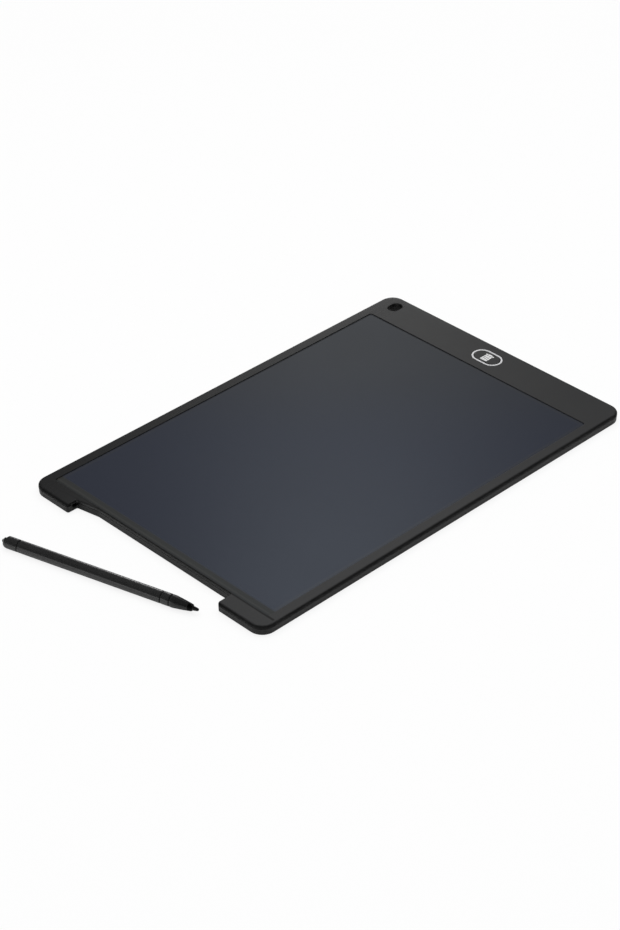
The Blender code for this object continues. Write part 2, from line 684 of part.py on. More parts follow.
def front_cover(tablet):
    cover = make_piece("front_cover", front_shell(), COVER_FINISH, parent=tablet)
    inside = shell_outline(FRONT_SKIRT, NOTCH_LIP)
    cut(cover, "front_cavity", prism(inside, FRONT_LOW - OVERRUN, CEILING))
    collar_growth = 2 * COLLAR_MARGIN
    collar = stadium_outline(RING_LENGTH + collar_growth, RING_WIDTH + collar_growth)
    fuse(cover, "button_collar", prism(collar, COLLAR_BOTTOM, CEILING + OVERLAP), (BUTTON_X, BUTTON_Y, 0))
    sleeve_growth = 2 * LANYARD_WALL
    sleeve = stadium_outline(LANYARD_WIDTH + sleeve_growth, LANYARD_LENGTH + sleeve_growth)
    fuse(cover, "front_lanyard_sleeve", prism(sleeve, FRONT_LOW, CEILING + OVERLAP),
         (LANYARD_X, LANYARD_Y, 0))
    fuse(cover, "screw_posts", screw_posts())
    cut(cover, "film_pocket", film_pocket())
    cut(cover, "window", window_cutter())
    seat_growth = 2 * THIN_SEAT
    seat = stadium_outline(RING_LENGTH + seat_growth, RING_WIDTH + seat_growth)
    seat_bottom = SHELL_HEIGHT - RING_THICKNESS + RING_PROUD - THIN_SEAT
    cut(cover, "ring_seat", prism(seat, seat_bottom, SHELL_HEIGHT + OVERRUN), (BUTTON_X, BUTTON_Y, 0))
    hole = stadium_outline(RING_LENGTH - 2 * RING_LINE, RING_WIDTH - 2 * RING_LINE)
    cut(cover, "button_hole", prism(hole, COLLAR_BOTTOM - OVERRUN, SHELL_HEIGHT), (BUTTON_X, BUTTON_Y, 0))
    cut(cover, "pilot_holes", pilot_holes())
    cut_shared_openings(cover)


# Rear cover
def rear_shell():
    """Outside of the rear cover: rounded lower edge, sides that lean out to the parting line."""
    sections = []
    for step in range(BASE_STEPS + 1):
        angle = pi / 2 * step / BASE_STEPS
        turned_in = 1 - sin(angle)
        inset = SIDE_TAPER + BASE_FILLET * turned_in
        outline = shell_outline(inset, NOTCH_BASE_FILLET * turned_in)
        sections.append((outline, BASE_FILLET * (1 - cos(angle))))
    sections.append((shell_outline(0, 0), REAR_TOP))
    return loft(sections)


def tongue_outline():
    """The tongue runs inside the front cover's skirt and leaves the walls of the notch out."""
    side = HALF_WIDTH - TONGUE_OUTSIDE
    end = HALF_LENGTH - TONGUE_OUTSIDE
    margin = SIDE_WALL + TONGUE_NOTCH_GAP
    notch = -HALF_LENGTH + NOTCH_DEPTH + margin
    left = NOTCH_LEFT - margin
    right = NOTCH_RIGHT + margin
    corners = ((-side, -end), (left, -end), (left, notch), (right, notch), (right, -end),
               (side, -end), (side, end), (-side, end))
    outer = CORNER_RADIUS - TONGUE_OUTSIDE
    return rounded_outline(corners, (outer, 0, 0, 0, 0, outer, outer, outer), CORNER_STEPS)


def floor_pockets():
    """Grid of shallow pockets that leaves ribs under the foam pad."""
    left = WINDOW_LEFT + POCKET_MARGIN
    low = WINDOW_LOW + POCKET_MARGIN
    pitch_x = (-2 * left + POCKET_RIB) / POCKET_COLUMNS
    pitch_y = (WINDOW_HIGH - POCKET_MARGIN - low + POCKET_RIB) / POCKET_ROWS
    pockets = []
    for column in range(POCKET_COLUMNS):
        for row in range(POCKET_ROWS):
            x = left + column * pitch_x
            y = low + row * pitch_y
            outline = box_outline(x, x + pitch_x - POCKET_RIB, y, y + pitch_y - POCKET_RIB,
                                  POCKET_CORNER, POCKET_STEPS)
            pockets.append(prism(outline, REAR_WALL, RIB_TOP + OVERLAP))
    return joined(pockets)


def board_pads():
    pads = []
    for x, y in BOARD_SCREW_PLACES + BOARD_REST_PLACES:
        outline = shifted(circle_outline(PCB_PAD_RADIUS), x, y)
        pads.append(prism(outline, REAR_WALL - OVERLAP, REAR_WALL + PCB_STANDOFF))
    return joined(pads)


def case_bosses():
    bosses = []
    for x, y in CASE_SCREW_PLACES:
        outline = shifted(circle_outline(BOSS_RADIUS), x, y)
        bosses.append(prism(outline, REAR_WALL - OVERLAP, REAR_WALL + BOSS_HEIGHT))
    return joined(bosses)


def bay_frame():
    """Thicker floor round the cell, which carries the door's ledge."""
    half = DOOR_HALF_WIDTH + BAY_FRAME
    outline = box_outline(DOOR_LEFT - DOOR_KEY_LENGTH - BAY_FRAME, DOOR_RIGHT + BAY_FRAME,
                          CELL_Y - half, CELL_Y + half, DOOR_CORNER)
    return prism(outline, REAR_WALL - OVERLAP, BAY_TOP)


def cell_wall():
    """Round wall that centres the cell, open towards the contacts."""
    outside = CELL_RADIUS + CELL_CLEARANCE + CELL_WALL
    return prism(circle_outline(outside, CELL_SIDES), BAY_TOP - OVERLAP, BAY_TOP + CELL_WALL_RISE)


def case_screw_holes():
    """Stepped holes for the case screws: a round pocket for the head and a clearance hole."""
    holes = []
    for x, y in CASE_SCREW_PLACES:
        head = HEAD_HOLE_RADIUS
        shank = CLEARANCE_RADIUS
        end = REAR_WALL + BOSS_HEIGHT + OVERRUN
        profile = ((0, -OVERRUN), (head, -OVERRUN), (head, HEAD_HOLE_DEPTH),
                   (shank, HEAD_HOLE_DEPTH), (shank, end), (0, end))
        hole = turned(profile)
        bmesh.ops.translate(hole, verts=hole.verts, vec=(x, y, 0))
        holes.append(hole)
    return joined(holes)


def board_pilot_holes():
    holes = []
    for x, y in BOARD_SCREW_PLACES:
        outline = shifted(circle_outline(PILOT_RADIUS), x, y)
        holes.append(prism(outline, BOARD_PILOT_FLOOR, REAR_WALL + PCB_STANDOFF + OVERRUN))
    return joined(holes)


def foot_pockets():
    pockets = []
    depth = FOOT_THICKNESS - FOOT_PROUD + SEAT
    for x, y in FOOT_PLACES:
        outline = shifted(circle_outline(FOOT_RADIUS + SEAT, FOOT_SIDES), x, y)
        pockets.append(prism(outline, -OVERRUN, depth))
    return joined(pockets)


def door_outline(inset):
    """Outline of the battery door's recess, with a small key at its -X end, moved inward."""
    left = DOOR_LEFT
    key_left = DOOR_LEFT - DOOR_KEY_LENGTH
    key = DOOR_KEY_WIDTH / 2
    wide = DOOR_HALF_WIDTH
    corners = (
        (left, CELL_Y - wide), (DOOR_RIGHT, CELL_Y - wide), (DOOR_RIGHT, CELL_Y + wide),
        (left, CELL_Y + wide), (left, CELL_Y + key), (key_left, CELL_Y + key),
        (key_left, CELL_Y - key), (left, CELL_Y - key),
    )
    corners = inset_corners(corners, [inset] * len(corners))
    return rounded_outline(corners, [DOOR_CORNER] * 4 + [DOOR_KEY_ROUND] * 4, SMALL_STEPS)


def rear_cover(tablet):
    cover = make_piece("rear_cover", rear_shell(), REAR_FINISH, parent=tablet)
    fuse(cover, "tongue", prism(tongue_outline(), REAR_TOP - OVERLAP, REAR_TOP + TONGUE_RISE))
    inside = shell_outline(SIDE_WALL, SIDE_WALL)
    cut(cover, "rear_cavity", prism(inside, RIB_TOP, SHELL_HEIGHT))
    cut(cover, "floor_pockets", floor_pockets())
    bay_inset = SIDE_WALL + BAY_STEP
    bay = box_outline(-HALF_WIDTH + bay_inset, HALF_WIDTH - bay_inset, BAY_LOW,
                      HALF_LENGTH - bay_inset, CORNER_RADIUS - bay_inset, CORNER_STEPS)
    cut(cover, "electronics_bay", prism(bay, REAR_WALL, RIB_TOP + OVERLAP))
    fuse(cover, "board_pads", board_pads())
    fuse(cover, "case_bosses", case_bosses())
    fuse(cover, "bay_frame", bay_frame())
    fuse(cover, "cell_wall", cell_wall(), (CELL_X, CELL_Y, 0))
    sleeve_growth = 2 * LANYARD_WALL
    sleeve = stadium_outline(LANYARD_WIDTH + sleeve_growth, LANYARD_LENGTH + sleeve_growth)
    fuse(cover, "rear_lanyard_sleeve", prism(sleeve, REAR_WALL - OVERLAP, REAR_TOP),
         (LANYARD_X, LANYARD_Y, 0))
    door_boss = prism(circle_outline(BOSS_RADIUS), REAR_WALL, DOOR_BOSS_TOP)
    fuse(cover, "door_boss", door_boss, (DOOR_SCREW_X, CELL_Y, 0))
    gap = box_outline(-2 * CELL_RADIUS, 0, -CONTACT_GAP_WIDTH / 2, CONTACT_GAP_WIDTH / 2)
    cut(cover, "contact_gap", prism(gap, BAY_TOP - CONTACT_CHANNEL, CEILING), (CELL_X, CELL_Y, 0))
    cut(cover, "door_recess", prism(door_outline(0), -OVERRUN, CELL_BOTTOM))
    cell_hole = circle_outline(CELL_RADIUS + CELL_CLEARANCE, CELL_SIDES)
    cut(cover, "cell_hole", prism(cell_hole, -OVERRUN, CEILING), (CELL_X, CELL_Y, 0))
    door_pilot = prism(circle_outline(PILOT_RADIUS), -OVERRUN, DOOR_PILOT_TOP)
    cut(cover, "door_pilot", door_pilot, (DOOR_SCREW_X, CELL_Y, 0))
    slot = centred_outline(SLIDER_SLOT_LENGTH, SLIDER_SLOT_WIDTH, MIN_ROUND)
    cut(cover, "slider_slot", prism(slot, -OVERRUN, RIB_TOP), (LOCK_X, LOCK_Y, 0))
    recess_length = SLIDER_GRIP_LENGTH + LOCK_TRAVEL + 2 * SEAT
    recess = centred_outline(recess_length, SLIDER_GRIP_WIDTH + 2 * SEAT, SLIDER_RECESS_ROUND)
    cut(cover, "slider_recess", prism(recess, -OVERRUN, SLIDER_RECESS_DEPTH), (LOCK_X, LOCK_Y, 0))
    cut(cover, "case_screw_holes", case_screw_holes())
    cut(cover, "board_pilot_holes", board_pilot_holes())
    cut(cover, "foot_pockets", foot_pockets())
    cut_shared_openings(cover)


# Film stack
def film_stack(tablet):
    film = box_outline(-FILM_REACH, FILM_REACH, FILM_LOW, FILM_HIGH, FILM_CORNER)
    make_piece("writing_film", prism(film, FILM_BOTTOM, FILM_TOP), FILM_FINISH, parent=tablet)
    low = -HALF_LENGTH + NOTCH_DEPTH + SIDE_WALL + SEAT
    board = box_outline(-FILM_REACH, FILM_REACH, low, FILM_HIGH, FILM_CORNER)
    make_piece("backing_board", prism(board, BOARD_BOTTOM, BOARD_TOP), BOARD_FINISH, parent=tablet)
    foam_reach = FILM_REACH - FOAM_MARGIN
    foam = box_outline(-foam_reach, foam_reach, low + FOAM_MARGIN, FILM_HIGH - FOAM_MARGIN, FILM_CORNER)
    make_piece("foam_pad", prism(foam, FOAM_BOTTOM, FOAM_TOP), FOAM_FINISH, parent=tablet)


def film_tail(tablet):
    """Flat flexible lead: leaves the film's far edge and bends down into the board's connector."""
    start_y = FILM_HIGH + THIN_SEAT
    start_z = FILM_BOTTOM
    end_y = CONNECTOR_Y - CONNECTOR_LENGTH / 2 + CONNECTOR_SLOT_DEPTH - SEAT
    bend_y = CONNECTOR_Y - CONNECTOR_LENGTH / 2 - SEAT
    end_z = ON_PCB + CONNECTOR_HEIGHT / 2
    lower, upper = [], []
    half = TAIL_THICKNESS / 2
    for step in range(TAIL_BEND_STEPS + 1):
        share = step / TAIL_BEND_STEPS
        y = start_y + (bend_y - start_y) * share
        z = end_z + (start_z - end_z) * (1 + cos(pi * share)) / 2
        lower.append((y, z - half))
        upper.append((y, z + half))
    lower.append((end_y, end_z - half))
    upper.append((end_y, end_z + half))
    ribbon = extruded_side(lower + upper[::-1], TAIL_WIDTH)
    make_piece("film_tail", ribbon, COPPER_FINISH, (CONNECTOR_X, 0, 0), tablet)


def extruded_side(profile, width):
    """Solid of a (y, z) profile extruded along X, centred on x = 0."""
    bm = bmesh.new()
    left = [bm.verts.new((-width / 2, y, z)) for y, z in profile]
    right = [bm.verts.new((width / 2, y, z)) for y, z in profile]
    for index in range(len(profile)):
        after = (index + 1) % len(profile)
        bm.faces.new((left[index], left[after], right[after], right[index]))
    bm.faces.new(left[::-1])
    bm.faces.new(right)
    return bm


def extruded_front(profile, depth):
    """Solid of an (x, z) profile extruded along Y, centred on y = 0."""
    bm = extruded_side(profile, depth)
    return turn_to(bm, (0, 1, 0), (1, 0, 0))


# Circuit board
def circuit_board(tablet):
    notch_half = SLIDER_FLANGE_LENGTH / 2 + LOCK_TRAVEL / 2 + PCB_NOTCH_MARGIN
    notch_left = LOCK_X - notch_half
    notch_right = LOCK_X + notch_half
    corners = (
        (PCB_LEFT, PCB_LOW), (notch_left, PCB_LOW), (notch_left, PCB_NOTCH_HIGH),
        (notch_right, PCB_NOTCH_HIGH), (notch_right, PCB_LOW), (PCB_RIGHT, PCB_LOW),
        (PCB_RIGHT, PCB_HIGH), (PCB_LEFT, PCB_HIGH),
    )
    outline = rounded_outline(corners, [PCB_ROUND] * 8, SMALL_STEPS)
    board = make_piece("circuit_board", prism(outline, PCB_BOTTOM, PCB_TOP), PCB_FINISH, parent=tablet)
    holes = [prism(shifted(circle_outline(BOARD_HOLE_RADIUS), x, y), PCB_BOTTOM - OVERRUN,
                   PCB_TOP + OVERRUN) for x, y in BOARD_SCREW_PLACES]
    cut(board, "board_holes", joined(holes))


def driver_chip(tablet):
    """Flat package with gull wing leads, drafted above and below its leads."""
    rows = []
    for height_share, grow in ((0, -CHIP_DRAFT), (CHIP_BEVEL_share, 0), (1, -CHIP_DRAFT)):
        outline = centred_outline(CHIP_WIDTH + 2 * grow, CHIP_LENGTH + 2 * grow)
        rows.append((outline, CHIP_HEIGHT * height_share))
    place = (CHIP_X, PCB_HIGH - CHIP_INSET, ON_PCB)
    chip = make_piece("driver_chip", loft(rows), CHIP_FINISH, place, tablet)
    leads = []
    reach = CHIP_LENGTH / 2 + CHIP_LEAD_REACH
    knee = CHIP_LENGTH / 2 + CHIP_LEAD_REACH / 2
    half = CHIP_LEAD / 2
    profile = (
        (-knee, CHIP_LEAD_HEIGHT), (-knee, half), (-reach, half), (-reach, 0), (-knee + half, 0),
        (-knee + half, CHIP_LEAD_HEIGHT - half), (knee - half, CHIP_LEAD_HEIGHT - half),
        (knee - half, 0), (reach, 0), (reach, half), (knee, half), (knee, CHIP_LEAD_HEIGHT),
    )
    for index in range(CHIP_LEADS_PER_SIDE):
        lead = extruded_side(profile, CHIP_LEAD)
        shift = (index - (CHIP_LEADS_PER_SIDE - 1) / 2) * CHIP_LEAD_PITCH
        bmesh.ops.translate(lead, verts=lead.verts, vec=(shift, 0, 0))
        leads.append(lead)
    fuse(chip, "chip_leads", joined(leads), place)


def small_components(tablet):
    waist = INDUCTOR_RADIUS - INDUCTOR_WAIST
    flange = INDUCTOR_FLANGE
    drum = ((0, 0), (INDUCTOR_RADIUS, 0), (INDUCTOR_RADIUS, flange), (waist, flange),
            (waist, INDUCTOR_HEIGHT - flange), (INDUCTOR_RADIUS, INDUCTOR_HEIGHT - flange),
            (INDUCTOR_RADIUS, INDUCTOR_HEIGHT), (0, INDUCTOR_HEIGHT))
    place = (INDUCTOR_X, PCB_HIGH - INDUCTOR_INSET, ON_PCB)
    make_piece("boost_inductor", turned(drum), FERRITE_FINISH, place, tablet)
    for index in range(2):
        outline = centred_outline(CAPACITOR_LENGTH, CAPACITOR_WIDTH, CAPACITOR_EDGE, 1)
        place = (CAPACITOR_X, PCB_HIGH - CAPACITOR_INSET - index * CAPACITOR_PITCH, ON_PCB)
        make_piece(f"capacitor_{index + 1}", prism(outline, 0, CAPACITOR_HEIGHT), CERAMIC_FINISH,
                   place, tablet)
    outline = centred_outline(DIODE_LENGTH, DIODE_WIDTH, CAPACITOR_EDGE, 1)
    make_piece("rectifier_diode", prism(outline, 0, DIODE_HEIGHT), CHIP_FINISH,
               (DIODE_X, PCB_HIGH - DIODE_INSET, ON_PCB), tablet)


def film_connector(tablet):
    outline = centred_outline(CONNECTOR_WIDTH, CONNECTOR_LENGTH)
    body = make_piece("film_connector", prism(outline, 0, CONNECTOR_HEIGHT), CERAMIC_FINISH,
                      (CONNECTOR_X, CONNECTOR_Y, ON_PCB), tablet)
    half = TAIL_WIDTH / 2 + SEAT
    front = -CONNECTOR_LENGTH / 2
    slot = box_outline(-half, half, front - OVERRUN, front + CONNECTOR_SLOT_DEPTH)
    low = (CONNECTOR_HEIGHT - CONNECTOR_SLOT) / 2
    cut(body, "connector_slot", prism(slot, low, low + CONNECTOR_SLOT), (CONNECTOR_X, CONNECTOR_Y, ON_PCB))


# Erase button
def erase_button(tablet):
    """Oblong key with a rounded upper edge, kept in by the flange under the cover's collar."""
    place = (BUTTON_X, BUTTON_Y, 0)
    hole_length = RING_LENGTH - 2 * RING_LINE
    hole_width = RING_WIDTH - 2 * RING_LINE
    cap_top = SHELL_HEIGHT + BUTTON_PROUD
    flange_top = BUTTON_BOTTOM + BUTTON_FLANGE_THICKNESS
    sections = []
    for step in range(SMALL_STEPS + 1):
        angle = pi / 2 * step / SMALL_STEPS
        shrink = 2 * (SEAT + BUTTON_EDGE * (1 - cos(angle)))
        outline = stadium_outline(hole_length - shrink, hole_width - shrink)
        sections.append((outline, cap_top - BUTTON_EDGE * (1 - sin(angle))))
    sections.insert(0, (sections[0][0], flange_top - OVERLAP))
    button = make_piece("erase_button", loft(sections), COVER_FINISH, place, tablet)
    growth = 2 * BUTTON_FLANGE
    flange = stadium_outline(hole_length + growth, hole_width + growth)
    fuse(button, "button_flange", prism(flange, BUTTON_BOTTOM, flange_top), place)


def button_ring(tablet):
    """White trim ring set flush in the front cover round the key."""
    place = (BUTTON_X, BUTTON_Y, 0)
    top = SHELL_HEIGHT + RING_PROUD
    outline = stadium_outline(RING_LENGTH, RING_WIDTH)
    ring = make_piece("button_ring", prism(outline, top - RING_THICKNESS, top), WHITE_FINISH, place, tablet)
    hole = stadium_outline(RING_LENGTH - 2 * RING_LINE, RING_WIDTH - 2 * RING_LINE)
    cut(ring, "ring_hole", prism(hole, top - RING_THICKNESS - OVERRUN, top + OVERRUN), place)


def erase_switch(tablet):
    """Low push switch: a square frame with a round plunger in it."""
    place = (BUTTON_X, BUTTON_Y, ON_PCB)
    frame = centred_outline(ERASE_SWITCH_SIZE, ERASE_SWITCH_SIZE, ERASE_SWITCH_ROUND)
    body = make_piece("erase_switch", prism(frame, 0, ERASE_SWITCH_HEIGHT), CHIP_FINISH, place, tablet)
    well = circle_outline(PLUNGER_RADIUS + THIN_SEAT)
    cut(body, "plunger_well", prism(well, -OVERRUN, ERASE_SWITCH_HEIGHT + OVERRUN), place)
    low = ON_PCB + BUTTON_TRAVEL + PLUNGER_HIDDEN - SOLDER_GAP
    high = BUTTON_BOTTOM - THIN_SEAT
    make_piece("erase_plunger", prism(circle_outline(PLUNGER_RADIUS), low, high), RUBBER_FINISH,
               (BUTTON_X, BUTTON_Y, 0), tablet)


# Lock switch and slider
def lock_switch(tablet):
    """Slide switch at the board's cut-out, with its lever pointing along -Y."""
    front = PCB_NOTCH_HIGH + THIN_SEAT
    half = LOCK_BODY_LENGTH / 2
    outline = box_outline(-half, half, front, front + LOCK_BODY_DEPTH)
    body = make_piece("lock_switch", prism(outline, 0, LOCK_BODY_HEIGHT), STEEL_FINISH,
                      (LOCK_X, 0, ON_PCB), tablet)
    slot_half = (LEVER_WIDTH + LOCK_TRAVEL) / 2 + SEAT
    slot = box_outline(-slot_half, slot_half, front - OVERRUN, front + LOCK_SLOT_DEPTH)
    slot_low = (LOCK_BODY_HEIGHT - LOCK_SLOT_HEIGHT) / 2
    cut(body, "lever_slot", prism(slot, slot_low, slot_low + LOCK_SLOT_HEIGHT), (LOCK_X, 0, ON_PCB))
    lever_half = LEVER_WIDTH / 2
    inner_end = front + LOCK_SLOT_DEPTH - SEAT
    lever = box_outline(-lever_half, lever_half, front - LEVER_REACH, inner_end)
    lever_low = (LOCK_BODY_HEIGHT - LEVER_THICKNESS) / 2
    make_piece("lock_lever", prism(lever, lever_low, lever_low + LEVER_THICKNESS), CHIP_FINISH,
               (LOCK_REST_X, 0, ON_PCB), tablet)


def slider_grip():
    """Finger plate with a row of ridges across its lower face."""
    half = SLIDER_GRIP_LENGTH / 2
    top = SLIDER_RECESS_DEPTH - THIN_SEAT
    profile = [(half, top), (-half, top)]
    pitch = SLIDER_GRIP_LENGTH / SLIDER_RIDGES
    for index in range(SLIDER_RIDGES):
        start = -half + index * pitch
        profile.append((start, -SLIDER_PROUD + SLIDER_RIDGE_HEIGHT))
        profile.append((start + pitch / 2, -SLIDER_PROUD))
    profile.append((half, -SLIDER_PROUD + SLIDER_RIDGE_HEIGHT))
    return extruded_front(profile, SLIDER_GRIP_WIDTH)


def lock_slider(tablet):
    """Slider on the back: grip, stem through the slot, flange inside and a fork round the lever."""
    place = (LOCK_REST_X, LOCK_Y, 0)
    slider = make_piece("lock_slider", slider_grip(), REAR_FINISH, place, tablet)
    stem = centred_outline(SLIDER_STEM_LENGTH, SLIDER_STEM_WIDTH, MIN_ROUND)
    flange_low = REAR_WALL + THIN_SEAT
    flange_high = flange_low + SLIDER_FLANGE_THICKNESS
    fuse(slider, "slider_stem", prism(stem, 0, flange_low + OVERLAP), place)
    flange = centred_outline(SLIDER_FLANGE_LENGTH, SLIDER_FLANGE_WIDTH, MIN_ROUND)
    fuse(slider, "slider_flange", prism(flange, flange_low, flange_high), place)
    inner = LEVER_WIDTH / 2 + SEAT
    half = SLIDER_PRONG_WIDTH / 2
    prong_top = CEILING - SLIDER_PRONG_TOP_GAP
    prongs = []
    for left in (-inner - SLIDER_PRONG, inner):
        outline = box_outline(left, left + SLIDER_PRONG, -half, half)
        prongs.append(prism(outline, flange_high - OVERLAP, prong_top))
    fuse(slider, "slider_fork", joined(prongs), place)


# Coin cell, contacts and door
def coin_cell(tablet):
    """Cell with the smaller negative cap towards the inside of the tablet."""
    cap = CELL_RADIUS - 2 * CELL_RIM
    profile = (
        (0, 0), (CELL_RADIUS - CELL_STEP, 0), (CELL_RADIUS, CELL_STEP),
        (CELL_RADIUS, CELL_THICKNESS - CELL_STEP), (CELL_RADIUS - CELL_RIM, CELL_THICKNESS - CELL_STEP),
        (cap, CELL_THICKNESS), (0, CELL_THICKNESS),
    )
    place = (CELL_X, CELL_Y, CELL_BOTTOM)
    make_piece("coin_cell", turned(profile, CELL_SIDES), STEEL_FINISH, place, tablet)


def battery_contacts(tablet):
    """Positive leaf against the cell's rim and negative leaf over its cap."""
    pad_left = PCB_RIGHT - CONTACT_PAD
    low = ON_PCB
    high = low + CONTACT_THICKNESS
    rim = CELL_X - CELL_RADIUS - SEAT
    top = high + POSITIVE_CONTACT_TOP
    side_leaf = ((pad_left, low), (rim, low), (rim, top), (rim - CONTACT_THICKNESS, top),
                 (rim - CONTACT_THICKNESS, high), (pad_left, high))
    make_piece("positive_contact", extruded_front(side_leaf, CONTACT_WIDTH), COPPER_FINISH,
               (0, CELL_Y, 0), tablet)
    over = CELL_TOP + SEAT
    reach = CELL_X + NEGATIVE_CONTACT_REACH
    foot = PCB_RIGHT + OVERRUN
    knee = foot + NEGATIVE_CONTACT_RAMP
    top_leaf = ((pad_left, low), (foot, low), (knee, over), (reach, over),
                (reach, over + CONTACT_THICKNESS), (knee, over + CONTACT_THICKNESS),
                (foot, high), (pad_left, high))
    make_piece("negative_contact", extruded_front(top_leaf, CONTACT_WIDTH), COPPER_FINISH,
               (0, CELL_Y - NEGATIVE_CONTACT_SHIFT, 0), tablet)


def battery_door(tablet):
    """Door with a key at one end, a screw at the other and grip grooves outside."""
    door = make_piece("battery_door", prism(door_outline(SEAT), 0, DOOR_THICKNESS), REAR_FINISH,
                      parent=tablet)
    head = HEAD_HOLE_RADIUS
    floor = SCREW_SINK + SCREW_HEAD_HEIGHT + SOLDER_GAP
    end = DOOR_THICKNESS + OVERRUN
    profile = ((0, -OVERRUN), (head, -OVERRUN), (head, floor), (CLEARANCE_RADIUS, floor),
               (CLEARANCE_RADIUS, end), (0, end))
    cut(door, "door_screw_hole", turned(profile), (DOOR_SCREW_X, CELL_Y, 0))
    grooves = []
    for index in range(DOOR_GROOVES):
        x = (index - (DOOR_GROOVES - 1) / 2) * DOOR_GROOVE_PITCH
        outline = shifted(stadium_outline(DOOR_GROOVE_WIDTH, DOOR_GROOVE_LENGTH, SMALL_STEPS), x, 0)
        grooves.append(prism(outline, -OVERRUN, DOOR_GROOVE_DEPTH))
    cut(door, "door_grooves", joined(grooves), (CELL_X, CELL_Y, 0))


# Fasteners and feet
def screw(name, length, place, parent, pointing_up=True):
    """Pan head screw with a cross slot; its origin is the outer face of its head."""
    head = SCREW_HEAD_RADIUS
    high = SCREW_HEAD_HEIGHT
    profile = ((0, 0), (head - MIN_ROUND, 0), (head, MIN_ROUND), (head, high), (SCREW_RADIUS, high),
               (SCREW_RADIUS, high + length - SCREW_POINT), (SCREW_RADIUS / 2, high + length),
               (0, high + length))
    body = turned(profile, SCREW_SIDES)
    slot_a = prism(centred_outline(SCREW_SLOT_WIDTH, head), -OVERRUN, SCREW_SLOT_DEPTH)
    slot_b = prism(centred_outline(head, SCREW_SLOT_WIDTH), -OVERRUN, SCREW_SLOT_DEPTH)
    if not pointing_up:
        for bm in (body, slot_a, slot_b):
            bmesh.ops.rotate(bm, verts=bm.verts, cent=(0, 0, 0), matrix=Matrix.Rotation(pi, 3, "X"))
    piece = make_piece(name, body, STEEL_FINISH, place, parent)
    cut(piece, name + "_slot_a", slot_a, place)
    cut(piece, name + "_slot_b", slot_b, place)


def screws(tablet):
    for index, (x, y) in enumerate(CASE_SCREW_PLACES):
        head = HEAD_HOLE_DEPTH - SOLDER_GAP - SCREW_HEAD_HEIGHT
        screw(f"case_screw_{index + 1}", CASE_SCREW_LENGTH - head, (x, y, head), tablet)
    for index, (x, y) in enumerate(BOARD_SCREW_PLACES):
        head = PCB_TOP + SOLDER_GAP + SCREW_HEAD_HEIGHT
        screw(f"board_screw_{index + 1}", BOARD_SCREW_LENGTH, (x, y, head), tablet, pointing_up=False)
    screw("door_screw", DOOR_SCREW_LENGTH, (DOOR_SCREW_X, CELL_Y, SCREW_SINK), tablet)


def feet(tablet):
    edge = FOOT_EDGE
    profile = ((0, 0), (FOOT_RADIUS - edge, 0), (FOOT_RADIUS, edge),
               (FOOT_RADIUS, FOOT_THICKNESS), (0, FOOT_THICKNESS))
    for index, (x, y) in enumerate(FOOT_PLACES):
        make_piece(f"foot_{index + 1}", turned(profile, FOOT_SIDES), RUBBER_FINISH,
                   (x, y, -FOOT_PROUD), tablet)


# Stylus, turned along its own axis
def pen_piece(name, profile, finish, stylus):
    """Solid turned from (distance from the tail, radius) points, laid along the stylus's X axis."""
    bm = turned([(radius, along) for along, radius in profile], PEN_SIDES)
    return make_piece(name, turn_to(bm, (0, 0, 1), (1, 0, 0)), finish, parent=stylus)


def pen_flat():
    """Cutter for the slanting flat on the cap's dome, which ends in a steep step."""
    end = PEN_FLAT_LENGTH + PEN_FLAT_STEP
    high = PEN_RADIUS + OVERRUN
    profile = ((-OVERRUN, PEN_FLAT_DISTANCE), (PEN_FLAT_LENGTH, PEN_FLAT_DISTANCE),
               (end, PEN_RADIUS), (end, high), (-OVERRUN, high))
    facing = (0, sin(PEN_FLAT_ANGLE), cos(PEN_FLAT_ANGLE))
    return turn_to(extruded_front(profile, 2 * high), (0, 0, 1), facing)


def pen_cap(stylus):
    """Tail cap: knob, dome with a flat, straight part and the spigot that plugs the barrel."""
    profile = [(0, 0), (0, PEN_KNOB_RADIUS - PEN_EDGE), (PEN_EDGE, PEN_KNOB_RADIUS),
               (PEN_KNOB_LENGTH, PEN_KNOB_RADIUS)]
    for step in range(PEN_DOME_STEPS + 1):
        angle = pi / 2 * step / PEN_DOME_STEPS
        along = PEN_KNOB_LENGTH + PEN_DOME * (1 - cos(angle))
        radius = PEN_KNOB_RADIUS + PEN_EDGE + (PEN_RADIUS - PEN_KNOB_RADIUS - PEN_EDGE) * sin(angle)
        profile.append((along, radius))
    profile += [(PEN_CAP_LENGTH - PEN_EDGE, PEN_RADIUS), (PEN_CAP_LENGTH, PEN_RADIUS - PEN_EDGE),
                (PEN_CAP_LENGTH, PEN_SPIGOT_RADIUS),
                (PEN_CAP_LENGTH + PEN_SPIGOT_LENGTH, PEN_SPIGOT_RADIUS),
                (PEN_CAP_LENGTH + PEN_SPIGOT_LENGTH, 0)]
    cap = pen_piece("stylus_cap", profile, PEN_FINISH, stylus)
    cut(cap, "cap_flat", pen_flat())


def pen_sleeve(name, start, end, stylus):
    """Tube with softened outer edges."""
    profile = ((start, PEN_BORE_RADIUS), (start, PEN_RADIUS - PEN_EDGE), (start + PEN_EDGE, PEN_RADIUS),
               (end - PEN_EDGE, PEN_RADIUS), (end, PEN_RADIUS - PEN_EDGE), (end, PEN_BORE_RADIUS))
    pen_piece(name, profile, PEN_FINISH, stylus)


